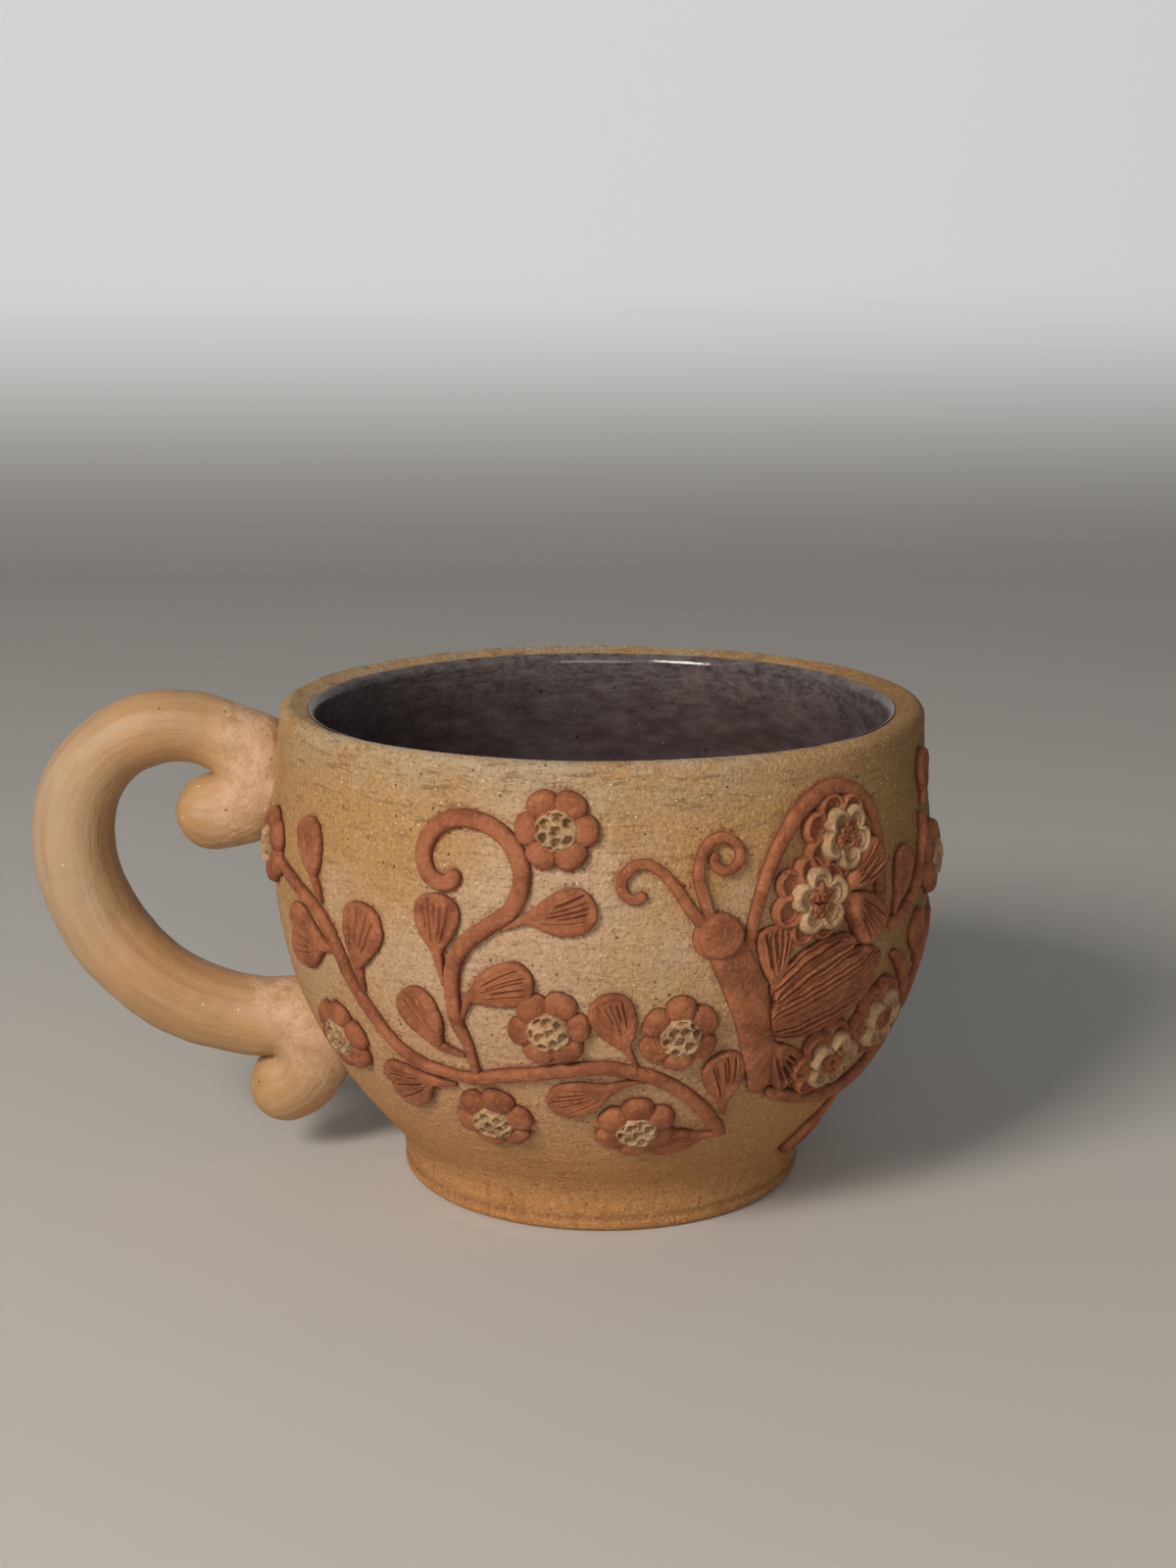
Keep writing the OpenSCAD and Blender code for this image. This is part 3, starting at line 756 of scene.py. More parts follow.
@dataclass(frozen=True)
class Burnished:
    """Bare stoneware smoothed with wet fingers: a soft sheen and faint streaks along the coil."""

    name: str = "wet_smoothed_stoneware"
    tan: str = "#a37e55"
    peach: str = "#ad8459"
    shade: str = "#92693f"
    grey_and_sheen: str = "#aa9985"
    luted: str = "#bf9a79"
    pinhole: str = "#7a5a3c"
    dark_grog: str = "#4c3826"
    pale_grog: str = "#e6d6bb"
    roughness: float = 0.5
    specular: float = 0.4

    def material(self) -> Material:
        """Builds the handle's finish: pale tan with streaks drawn out along its length, and a painted sheen
        on its outer left side.

        Returns:
            The material.
        """
        coat = Coat(self.name)
        straight = coat.add("ShaderNodeAttribute", attribute_name="straight").outputs["Vector"]
        streak = coat.clouds(1.6, 6, 0.6, (0.08, 1, 1), straight)
        # Where it is luted on, the clay is wetter, peachy and full of pin-holes
        wet = coat.add("ShaderNodeAttribute", attribute_name="lute").outputs["Fac"]
        mottle = coat.clouds(2.4, 4, 0.7)
        colour = coat.layered(
            self.tan,
            (self.peach, 1, (coat.clouds(9, 3), 0.35, 0.65)),
            (self.grey_and_sheen, 0.4, (streak, 0.48, 0.3)),
            # Painted sheen: the outer left side, which faces the key lamp, is drawn paler and greyer
            (self.grey_and_sheen, 0.5, (coat.across, -70 * MM, -90 * MM)),
            (self.shade, 0.42, (streak, 0.48, 0.72)),
            (self.luted, 1, (wet, 0, 0.35), (mottle, 0.3, 0.62)),
            (self.pinhole, 0.6, coat.flecks(1.1, 0.14, 0.72), (wet, 0.02, 0.2)),
            (self.dark_grog, 0.8, coat.flecks(3.4, 0.07, 0.78)),
            (self.pale_grog, 0.6, coat.flecks(2.6, 0.07, 0.72)),
        )
        dented = coat.amount(1, mottle, (wet, 0, 0.3))
        return coat.finish({"Base Color": colour, "Roughness": self.roughness,
                            "Specular IOR Level": self.specular},
                           (coat.clouds(0.5, 3), 0.07), (dented, 0.35), (streak, 0.22))


@dataclass(frozen=True)
class Clay:
    """Bare modelling clay, pressed and tooled by hand: matt, with fine pits and dusty high spots."""

    name: str
    base: str
    deep: str
    dust: str
    shade: str
    pit: float
    roughness: float = 0.82
    specular: float = 0.3

    def material(self) -> Material:
        """Builds the finish: earthy, with painted shade in the tool's grooves and in the seam with the wall.

        Returns:
            The material.
        """
        coat = Coat(self.name)
        grain = coat.clouds(self.pit, 5, 0.75)
        groove, seam = (coat.add("ShaderNodeAttribute", attribute_name=name).outputs["Fac"]
                        for name in ("groove", "seam"))
        colour = coat.layered(
            self.base,
            (self.deep, 1, (coat.clouds(4, 4, 0.6), 0.35, 0.7)),
            (self.dust, 0.42, (grain, 0.52, 0.68)),
            (self.deep, 0.5, (grain, 0.46, 0.34)),
            # Painted shade: darker in the strokes, folds and holes, and along the seam with the wall
            (self.deep, 0.7, groove),
            (self.shade, 0.8, seam),
            (self.dust, 0.45, coat.flecks(1.8, 0.09, 0.7)),
        )
        return coat.finish({"Base Color": colour, "Roughness": self.roughness,
                            "Specular IOR Level": self.specular},
                           (coat.clouds(1.1, 3, 0.65), 0.34), (grain, 0.34))


@dataclass(frozen=True)
class Glaze:
    """Poured manganese glaze, fired glossy: nearly black in the shade, with milky purple mottling."""

    name: str = "poured_dark_glaze"
    base: str = "#403433"
    milk: str = "#665c5a"
    spot: str = "#1c1311"
    frost: str = "#7d7778"
    roughness: float = 0.18
    ior: float = 1.52

    def material(self) -> Material:
        """Builds the lining's finish: glass-smooth, with small pits and soft mottles.

        Returns:
            The material.
        """
        coat = Coat(self.name)
        runs = (0.4, 0.4, 1)
        mottle = coat.clouds(2.2, 5, 0.62, runs)
        # It ran off the lip, where the thin coat crazed to a pale bloom in broken rings
        craze = coat.clouds(0.7, 4, 0.75, runs)
        colour = coat.layered(
            self.base,
            (self.milk, 1, (coat.high, 50 * MM, 76 * MM, 0.25, 1), (mottle, 0.3, 0.8)),
            (self.spot, 0.8, coat.flecks(3.2, 0.09, 0.6)),
            (self.frost, 0.5, coat.flecks(1.9, 0.1, 0.6)),
            (self.frost, 0.4, (coat.high, 62 * MM, 75 * MM), (craze, 0.42, 0.62)),
        )
        return coat.finish({"Base Color": colour, "Roughness": self.roughness, "IOR": self.ior},
                           (coat.clouds(3, 2), 0.12))


@dataclass
class Bowl:
    """The thrown bowl and its glaze lining."""

    wall: Wall
    sides: int = 420
    foot_bevel: float = 1.4
    foot_ring_w: float = 7.0
    foot_hollow: float = 1.5
    floor_t: float = 7.5
    floor_rise: float = 12.0
    lip_r: float = 1.9
    lip_inner_r: float = 1.5
    lip_fall: float = 0.9
    glaze_t: float = 0.4
    glaze_gap: float = 0.1
    glaze_end: float = 122.0
    slip_reach: float = 1.5
    smudge_r: float = 3.8
    lute_reach: float = 5.0
    lute_t: float = 0.55
    toolmark_z: float = 2.4
    toolmark_t: float = 0.2

    @property
    def lip_z(self) -> float:
        """Height where the lip's inner curve starts."""
        return self.wall.height - self.lip_fall - self.lip_inner_r

    @property
    def lip_curl(self) -> float:
        """Distance of the middle of the lip's inner curve from the axis."""
        return float(self.wall.inner(self.lip_z)) + self.lip_inner_r

    @staticmethod
    def arc(x: float, z: float, radius: Any, start: float, end: float, steps: int) -> np.ndarray:
        """Points of an arc in the section."""
        a = np.radians(np.linspace(start, end, steps))
        return np.stack([x + radius * np.cos(a), z + radius * np.sin(a)], -1)

    def inside(self, inset: float, top: float, steps: int) -> np.ndarray:
        """The inside's section, from the floor's centre up to a height.

        Args:
            inset: Distance off the clay.
            top: The height.
            steps: Steps along the floor.

        Returns:
            Points as [radius, height].
        """
        floor = self.floor_t + inset
        a = np.linspace(0.002, math.pi / 2, steps)
        z = floor + self.floor_rise * (1 - np.cos(a))
        low = np.stack([(self.wall.inner(z) - inset) * np.sin(a), z], -1)
        z = np.linspace(floor + self.floor_rise, top, steps * 2)[1:]
        return np.vstack([low, np.stack([self.wall.inner(z) - inset, z], -1)])

    def section(self) -> tuple[np.ndarray, int, int]:
        """The whole section, and where the outer side starts and ends in it.

        Returns:
            Points as [radius, height], and the first and last number.
        """
        w, edge = self.wall, self.wall.foot_r - self.foot_bevel
        hollow, deep = edge - self.foot_ring_w, self.foot_hollow
        foot = np.array([[0.05, deep], [hollow * 0.5, deep], [hollow - 0.3, deep],
                         [hollow + 0.1, deep - 0.15], [hollow + 0.9, 0.25], [hollow + 1.6, 0], [edge - 2, 0]])
        heel = self.arc(edge, self.foot_bevel, self.foot_bevel, -90, 0, 7)[:-1]
        z = np.linspace(self.foot_bevel, w.height - self.lip_r, 150)
        side = np.stack([w.radius(z), z], -1)
        lip = self.arc(w.rim_r - self.lip_r, w.height - self.lip_r, self.lip_r, 0, 90, 12)[1:]
        fall = self.arc(self.lip_curl, self.lip_z, self.lip_inner_r, 90, 180, 10)
        inner = self.inside(0, self.lip_z - 0.2, 8)[::-1]
        start = len(foot) + len(heel)
        return np.vstack([foot, heel, side, lip, fall, inner]), start, start + len(side)

    def turned(self, name: str, section: np.ndarray, material: Material) -> Object:
        """Turns a section round the axis into a closed solid.

        Args:
            name: The object's name.
            section: Points as [radius, height].
            material: The finish.

        Returns:
            The solid.
        """
        a = np.linspace(0, 2 * math.pi, self.sides, endpoint=False)
        ring = np.stack([np.sin(a), -np.cos(a)], -1)
        flat = section[:, None, :1] * ring[None]
        tall = np.broadcast_to(section[:, None, 1:], (*flat.shape[:2], 1))
        return ring_solid(name, np.concatenate([flat, tall], -1), material)

    def build(self, material: Material, relief: np.ndarray, handle: np.ndarray,
              smudges: Sequence[Place]) -> Object:
        """Builds the bowl, with its marks of throwing and of luting.

        Args:
            material: The bare clay's finish.
            relief: Points of the red pieces that sit on the wall.
            handle: Points of the handle.
            smudges: Places in the drawing where red slip was rubbed off beside the relief.

        Returns:
            The bowl.
        """
        section, *ends = self.section()
        bowl = self.turned("bowl_thrown", section, material)
        co = coordinates(bowl)
        outer = slice(*(n * self.sides for n in ends))
        side = co[outer]
        slip = self.near(co, relief, self.slip_reach, outer)
        for along, up in smudges:
            far = np.linalg.norm(co - self.wall.point(np.array(along), np.array(up)), axis=1)
            slip = np.maximum(slip, 0.55 * np.exp(-(far / self.smudge_r) ** 2))
        paint(bowl, "slip", slip)
        lute = self.near(co, handle, self.lute_reach, outer)
        paint(bowl, "lute", lute)
        # Throwing marks run round, so their lumps are drawn out sideways
        long = side * [0.06, 0.06, 1.0]
        marks = 0.09 * lumps(long, 1.3, 2) + 0.12 * lumps(side, 9, 3) + 0.03 * lumps(side, 0.9, 4)
        marks -= self.toolmark_t * np.exp(-((side[:, 2] - self.toolmark_z) / 0.5) ** 2)
        fade = step(0, 2.5, side[:, 2]) * step(0, 2.5, self.wall.height - self.lip_r - side[:, 2])
        proud = self.lute_t * lute[outer] ** 2
        co[outer] += unit(side * [1, 1, 0]) * (marks * fade + proud)[:, None]
        co[:, 2] += self.wave(co)
        set_coordinates(bowl, co)
        return bowl

    @staticmethod
    def near(co: np.ndarray, pieces: np.ndarray, reach: float, outer: slice) -> np.ndarray:
        """How near each point of the outer side is to some pieces, from 0 at the reach to 1.

        Args:
            co: The bowl's points.
            pieces: The pieces' points.
            reach: The reach.
            outer: Which points are on the outer side.

        Returns:
            One value a point, 0 on the other sides.
        """
        tree = kdtree.KDTree(len(pieces))
        for i, p in enumerate(pieces.tolist()):
            tree.insert(p, i)
        tree.balance()
        out = np.zeros(len(co))
        out[outer] = [1 - min(1.0, tree.find(p)[2] / reach) for p in co[outer].tolist()]
        return out

    def line(self, material: Material) -> Object:
        """Builds the glaze lining, a thin closed shell that thins out over the lip's inner curve.

        Args:
            material: The glaze's finish.

        Returns:
            The lining.
        """
        sides = []
        for coat in (0.0, self.glaze_t):
            depth = self.glaze_gap + coat * np.linspace(1, 0.4, 9)
            over = self.arc(self.lip_curl, self.lip_z, self.lip_inner_r + depth, 180, self.glaze_end, 9)
            sides.append(np.vstack([self.inside(self.glaze_gap + coat, self.lip_z - 0.15, 30), over]))
        outer, inner = sides
        edge = np.array([(outer[-1] + inner[-1]) / 2 + [0.1, 0.06]])
        lining = self.turned("glaze_poured", np.vstack([outer, edge, inner[::-1]]), material)
        co = coordinates(lining)
        pool = 0.06 * lumps(co, 6, 8)
        co -= unit(co * [1, 1, 0]) * (np.abs(pool) * step(12, 20, co[:, 2]))[:, None]
        co[:, 2] += self.wave(co)
        set_coordinates(lining, co)
        return lining

    @staticmethod
    def wave(co: np.ndarray) -> np.ndarray:
        """How far the rim rises and falls round the bowl."""
        return 0.12 * lumps(co * [1, 1, 0], 18, 5) * step(70, 76, co[:, 2])


@dataclass
class ScrollHandle:
    """A rolled coil with a scroll at each end, luted to the wall."""

    wall: Wall
    coil_r: float = 6.3
    arch_r: float = 17.0
    sweep_r: float = 30.8
    upper_scroll_r: float = 6.2
    lower_scroll_r: float = 5.8
    arch_reach: float = 15.1
    arch_rise: float = 1.3
    arch_start: float = 60.0
    upper_end: float = -88.0
    lower_end: float = -70.0
    smear_t: float = 1.9
    smear_reach: float = 6.5
    wet_reach: float = 13.0
    gap: float = 0.02
    sides: int = 64
    pitch: float = 0.75
    # Thickness along the coil, as shares of its length and of its radius
    swell: tuple = ((0, 0.97), (0.12, 0.95), (0.17, 0.87), (0.24, 0.91), (0.34, 0.97), (0.44, 1.02),
                    (0.6, 1.05), (0.82, 1.03), (1, 0.98))

    def stations(self) -> np.ndarray:
        """The centre line as [x, z, direction x, direction z].

        Returns:
            The stations from the upper scroll to the lower one.
        """
        arch = np.array([-self.wall.belly_r - self.arch_reach, self.wall.belly_z + self.arch_rise])
        a = math.radians(self.arch_start)
        upper = arch + (self.arch_r - self.upper_scroll_r) * np.array([math.cos(a), math.sin(a)])
        sweep = arch + [self.sweep_r - self.arch_r, 0]
        lower = sweep - [0, self.sweep_r + self.lower_scroll_r]
        arcs = ((upper, self.upper_scroll_r, self.upper_end, self.arch_start),
                (arch, self.arch_r, self.arch_start, 180.0),
                (sweep, self.sweep_r, 180.0, 270.0),
                (lower, self.lower_scroll_r, 90.0, self.lower_end))
        out = []
        for centre, radius, start, end in arcs:
            steps = max(6, round(abs(math.radians(end - start)) * radius / self.pitch))
            a = np.radians(np.linspace(start, end, steps + 1))[1 if out else 0:]
            way = math.copysign(1, end - start)
            out.append(np.stack([centre[0] + radius * np.cos(a), centre[1] + radius * np.sin(a),
                                 -way * np.sin(a), way * np.cos(a)], -1))
        return np.vstack(out)

    def rings(self) -> tuple[np.ndarray, np.ndarray]:
        """Stations and radii, with the rounded ends.

        Returns:
            The stations, and the radius at each.
        """
        line = self.stations()
        gone = lengths(line[:, :2])
        radius = self.coil_r * np.interp(gone / gone[-1], *np.transpose(self.swell))
        turn = np.radians(np.linspace(86, 8, 12))

        def cap(station: np.ndarray, r: float, way: int, angles: np.ndarray) -> tuple:
            """Smaller and smaller rings at an end."""
            move = way * r * np.sin(angles)[:, None] * station[2:]
            ends = np.concatenate([station[:2] + move, np.broadcast_to(station[2:], (len(angles), 2))], -1)
            return ends, r * np.cos(angles)

        head, head_r = cap(line[0], radius[0], -1, turn)
        tail, tail_r = cap(line[-1], radius[-1], 1, turn[::-1])
        return np.vstack([head, line, tail]), np.concatenate([head_r, radius, tail_r])

    def build(self, material: Material) -> Object:
        """Builds the handle, smeared on to the wall where it meets it.

        Args:
            material: The finish.

        Returns:
            The handle.
        """
        line, radius = self.rings()
        a = np.linspace(0, 2 * math.pi, self.sides, endpoint=False)
        none = np.zeros(len(line))
        across = np.stack([line[:, 3], none, -line[:, 2]], -1)
        out = np.cos(a)[:, None] * across[:, None] + np.sin(a)[:, None] * np.array([0.0, 1.0, 0.0])
        centre = np.stack([line[:, 0], none, line[:, 1]], -1)
        rough = centre[:, None] + radius[:, None, None] * out
        dents = 0.24 * lumps(rough, 7, 1) + 0.1 * lumps(rough, 2.4, 2)
        points, smear = self.luted(rough + out * dents[..., None], out)
        handle = ring_solid("handle_coil", points, material)
        paint(handle, "lute", closed(smear))
        gone = lengths(centre)
        lay = np.stack([np.broadcast_to(gone[:, None], rough.shape[:2]),
                        radius[:, None] * np.cos(a), radius[:, None] * np.sin(a)], -1).reshape(-1, 3)
        paint(handle, "straight", np.vstack([lay, [0, 0, 0], [gone[-1], 0, 0]]) * MM)
        return handle

    def luted(self, p: np.ndarray, out: np.ndarray) -> tuple[np.ndarray, np.ndarray]:
        """Keeps the coil off the wall, thickens it where it is smeared on, and says where it was wet.

        Args:
            p: The coil's points.
            out: Their directions out from the coil's middle.

        Returns:
            The moved points, and how wet each was, from 0 to 1.
        """
        off = np.maximum(0, np.hypot(p[..., 0], p[..., 1]) - self.wall.radius(p[..., 2]))
        smear = self.smear_t * np.maximum(0, 1 - off / self.smear_reach) ** 2
        smear = smear * (1 + 0.35 * lumps(p, 2.5, 6))
        q = p + smear[..., None] * out
        r = np.hypot(q[..., 0], q[..., 1])
        least = self.wall.radius(q[..., 2]) + self.gap
        q[..., :2] *= np.where(r < least, least / np.maximum(r, 1e-6), 1.0)[..., None]
        return q, np.maximum(0, 1 - off / self.wet_reach) ** 1.5


class Coils:
    """Rolled coils of clay that follow a line on the wall, grown by Geometry Nodes."""

    def __init__(self, wall: Wall) -> None:
        """Builds the tree: a rounded section swept along a path, with a hand-rolled surface.

        Args:
            wall: The wall that they lie on.
        """
        self.wall = wall
        self.grown = g = Grown("rolled_coil", Width=2 * MM, Height=1.3 * MM, Sides=28, Square=2.9,
                               Lump=0.4 * MM, Seed=0.0)
        path = g.add("GeometryNodeMeshToCurve", {0: g["Geometry"]})
        normal = g.add("GeometryNodeInputNamedAttribute", {"Name": "wall_normal"}, data_type="FLOAT_VECTOR")
        swell = g.add("GeometryNodeInputNamedAttribute", {"Name": "swell"}, data_type="FLOAT")
        turned = g.add("GeometryNodeSetCurveNormal", {"Curve": path, "Normal": normal}, mode="FREE")
        ring = g.add("GeometryNodeCurvePrimitiveCircle", {"Radius": 0.5, "Resolution": g["Sides"]})
        size = g.add("ShaderNodeCombineXYZ", {"X": g["Height"], "Y": g["Width"], "Z": 1.0})
        pressed = g.add("GeometryNodeSetPosition", {"Geometry": ring, "Position": self.squared(g)})
        section = g.add("GeometryNodeTransform", {"Geometry": pressed, "Scale": size})
        swept = g.add("GeometryNodeCurveToMesh",
                      {"Curve": turned, "Profile Curve": section, "Scale": swell, "Fill Caps": True})
        place = g.add("GeometryNodeInputPosition")
        moved = g.add("ShaderNodeVectorMath", {0: place, 1: g["Seed"]}, operation="ADD")
        grain = g.add("ShaderNodeTexNoise",
                      {"Vector": moved, "Scale": per(2.2), "Detail": 5, "Roughness": 0.72})
        level = g.add("ShaderNodeMath", {0: grain, 1: 0.5}, operation="SUBTRACT")
        depth = g.add("ShaderNodeMath", {0: level, 1: g["Lump"]}, operation="MULTIPLY")
        out = g.add("GeometryNodeInputNormal")
        offset = g.add("ShaderNodeVectorMath", {0: out, 3: depth}, operation="SCALE")
        g.finish(g.add("GeometryNodeSetPosition", {"Geometry": swept, "Offset": offset}))

    @staticmethod
    def squared(g: Grown) -> Node:
        """Positions of the round section's points moved out to a rounded square, by the power Square.

        Args:
            g: The coil's tree.

        Returns:
            The node that gives them.
        """
        spot = g.add("GeometryNodeInputPosition")
        parts = g.add("ShaderNodeSeparateXYZ", {0: spot})
        powers = []
        for axis in ("X", "Y"):
            size = g.add("ShaderNodeMath", {0: parts.outputs[axis]}, operation="ABSOLUTE")
            twice = g.add("ShaderNodeMath", {0: size, 1: 2.0}, operation="MULTIPLY")
            powers.append(g.add("ShaderNodeMath", {0: twice, 1: g["Square"]}, operation="POWER"))
        both = g.add("ShaderNodeMath", dict(enumerate(powers)), operation="ADD")
        root = g.add("ShaderNodeMath", {0: -1.0, 1: g["Square"]}, operation="DIVIDE")
        reach = g.add("ShaderNodeMath", {0: both, 1: root}, operation="POWER")
        return g.add("ShaderNodeVectorMath", {0: spot, 3: reach}, operation="SCALE")

    def roll(self, name: str, places: Sequence[Place], width: float, height: float,
             taper: Sequence[tuple[float, float]], material: Material, seed: int, **sizes: float) -> Object:
        """Rolls one coil along a line of places.

        Args:
            name: The object's name.
            places: The line in the drawing, in millimetres.
            width: Width of the coil.
            height: Height of its crest off the wall.
            taper: Width along the line as (place, share).
            material: The finish.
            seed: Moves the unevenness.
            **sizes: Other sizes of the tree. Square is 2 for a round coil, and more for one that
                is pressed flatter and squarer.

        Returns:
            The coil.
        """
        rough = curve(places, 14)
        gone = lengths(rough)
        # Stations crowd together at both ends, which are rounded off
        round_off = width / 2 * (1 - np.cos(np.linspace(0.12, math.pi / 2, 9)))
        middle = np.linspace(width / 2, gone[-1] - width / 2, round(gone[-1] / 0.28))[1:-1]
        at = np.concatenate([round_off, middle, gone[-1] - round_off[::-1]])
        line = [np.interp(at, gone, axis) for axis in rough.T]
        swell = np.interp(at / gone[-1], *np.transpose(taper))
        end = np.minimum(at, gone[-1] - at) / (width / 2)
        swell = swell * np.sqrt(np.clip(1 - (1 - np.minimum(end, 1)) ** 2, 0.01, 1))
        # The section is a full oval whose lower part is let into the wall
        oval = height * 1.5
        crest = np.minimum(height * (0.45 + 0.55 * swell), oval * swell - 0.12)
        points = self.wall.point(*line, crest - oval / 2 * swell) * MM
        mesh = bpy.data.meshes.new(name)
        mesh.from_pydata(points.tolist(), [(i, i + 1) for i in range(len(points) - 1)], [])
        holder = linked(name, mesh)
        paint(holder, "wall_normal", self.wall.normal(*line))
        paint(holder, "swell", swell)
        return self.grown.grow(holder, Width=width * MM, Height=oval * MM, Seed=seed,
                               Material=material, **sizes)


@dataclass
class Stroke:
    """One stroke of a pointed tool: where it ends across a blade, and where it starts and ends along it."""

    across: float
    start: float
    end: float
    depth: float
    width: float


@dataclass
class Blades:
    """Pressed blades of clay with tooled strokes: the leaves and the wing pads."""

    wall: Wall
    across: int = 77
    pitch: float = 0.14
    leaf_w: float = 6.8
    stalk_w: float = 1.0
    thumb: float = 0.26
    # Half width from the base to the tip, as shares of the length and of the widest
    leaf_shares: tuple = ((0, 0.2), (0.08, 0.33), (0.17, 0.5), (0.34, 0.8), (0.5, 0.95), (0.66, 1),
                          (0.8, 0.93), (0.9, 0.75), (0.96, 0.5), (0.99, 0.25), (1, 0.04))
    fan_shares: tuple = ((0, 0.22), (0.1, 0.4), (0.3, 0.68), (0.55, 0.9), (0.78, 1), (0.92, 0.92),
                         (0.97, 0.7), (0.995, 0.35), (1, 0.04))
    pad_shares: tuple = ((0, 0.42), (0.04, 0.6), (0.12, 0.78), (0.25, 0.93), (0.5, 1), (0.72, 0.97),
                         (0.86, 0.74), (0.95, 0.46), (1, 0.12))

    @staticmethod
    def strokes(count: int, spread: float, depth: float, width: float, seed: int,
                start: float = 0.14, end: float = 0.93) -> list[Stroke]:
        """A fan of strokes, each a little different.

        Args:
            count: How many strokes.
            spread: Share of the half width that they reach out to.
            depth: Depth of a stroke.
            width: Half width of a stroke.
            seed: Picks the differences.
            start: Where they start, as a share of the length.
            end: Where they end.

        Returns:
            The strokes.
        """
        rng = np.random.default_rng(seed)
        at = np.linspace(-spread, spread, count) + rng.uniform(-0.09, 0.09, count)
        return [Stroke(float(a), start + rng.uniform(-0.06, 0.2), end - rng.uniform(0, 0.16) - 0.12 * abs(a),
                       depth * rng.uniform(0.45, 1.2), width * rng.uniform(0.75, 1.25)) for a in at]

    @staticmethod
    def half_widths(shares: Sequence[tuple[float, float]], s: np.ndarray) -> np.ndarray:
        """Half width shares along a blade, on a smooth line through a table."""
        line = curve(shares, 24)
        return np.interp(s, np.maximum.accumulate(line[:, 0]), line[:, 1])

    def press(self, name: str, line: np.ndarray, half: np.ndarray, height: np.ndarray,
              strokes: Iterable[Stroke], material: Material, seed: float, ragged: float, notch: float = 0.0,
              blade_from: float = 0.0, lean: float = 1.0, hollow: float = 0.0,
              wander: float = 0.09) -> Object:
        """Presses one blade on to the wall.

        Args:
            name: The object's name.
            line: Its centre line in the drawing, in millimetres.
            half: Half width at each point of the line.
            height: Height at each point of the line.
            strokes: The tool's strokes.
            material: The finish.
            seed: Moves the unevenness.
            ragged: Roughness of the edge.
            notch: How far the middle of the tip is drawn back.
            blade_from: Where the blade starts along the line, as a share.
            lean: 1 for strokes that follow the outline, less for straight ones from the base.
            hollow: Depth of the thumb's hollow inside the rim.
            wander: How far a stroke strays from its course.

        Returns:
            The blade.
        """
        n = len(line)
        t = np.linspace(0, 1, n)
        s = np.clip((t - blade_from) / (1 - blade_from), 0, 1)
        x = np.sin(np.linspace(-1, 1, self.across) * math.pi / 2 * 0.9) / math.sin(math.pi / 2 * 0.9)
        # Both edges turn under a little, so that the wall keeps a dark line beside them
        x = np.concatenate([[-0.95, -0.99], x, [0.99, 0.95]])
        dome = np.sqrt(np.clip(1 - np.abs(x) ** 4.5, 0, 1)) * 0.62 + 0.38
        dome[[0, 1, -2, -1]] = 0, 0.14, 0.14, 0
        top = dome > 0.3
        way = self.wall.way(line)
        side = np.stack([way[:, 1], -way[:, 0]], -1)
        far = t * n * self.pitch
        edge_at = np.stack([np.repeat(far[:, None], 2, 1), np.tile([0.0, 40.0], (n, 1)),
                            np.full((n, 2), seed)], -1)
        torn = ragged * (lumps(edge_at, 1.8, seed) + 0.9 * lumps(edge_at, 0.6, seed + 1))
        grow = np.where(x < 0, torn[:, :1], torn[:, 1:]) * np.abs(x) ** 3
        right = x * half[:, None] + np.sign(x) * grow * np.minimum(1, half / 1.2)[:, None]
        back = notch * s[:, None] ** 2 * (1 - x ** 2)
        shift = side[:, None] * right[..., None] - way[:, None] * back[..., None]
        flat = np.stack([far[:, None] + 0 * right, right, 0 * right + seed], -1)
        dish = step(0.08, 0.4, s)[:, None] * (1 - step(0.78, 0.97, s))[:, None] * \
            np.clip(1 - (np.abs(x) / 0.8) ** 2.5, 0, 1)
        lift = height[:, None] * dome - hollow * dish
        # How deep each point lies in a stroke, for the shade that is painted there
        groove = np.zeros_like(lift)
        widest = float(half.max())
        for k in strokes:
            wobble = wander * lumps(np.stack([far, np.full(n, k.across * 4), np.full(n, seed)], -1), 2.6)
            straight = widest * (0.16 + 0.84 * s / k.end)
            track = k.across * (lean * half + (1 - lean) * straight) + wobble
            d = np.abs(x * half[:, None] - track[:, None])
            on = (step(k.start, k.start + 0.12, s) * (1 - step(k.end - 0.1, k.end, s)))[:, None]
            cut = np.exp(-(d / k.width) ** 2) * on
            burr = np.exp(-((d - 2 * k.width) / k.width) ** 2) * on
            groove = np.maximum(groove, cut * min(1.0, k.depth / 0.35))
            lift = lift - (k.depth * cut - 0.3 * k.depth * burr) * top
        skin = 0.06 * lumps(flat, 1.5, seed + 2) + 0.04 * lumps(flat, 0.55, seed + 3)
        crumbs = 0.8 * ragged * step(0.75, 1.0, np.abs(x)) * lumps(flat, 0.7, seed + 4)
        lift = np.where(top, np.maximum(lift + skin + crumbs, 0.25), lift)
        lift[:, 0] = lift[:, -1] = -SINK
        base = np.broadcast_to(line[:, None], (n, len(x), 2))
        blade = ring_solid(name, self.wall.laid(base, shift[..., 0], shift[..., 1], lift), material)
        paint(blade, "groove", closed(groove))
        return blade

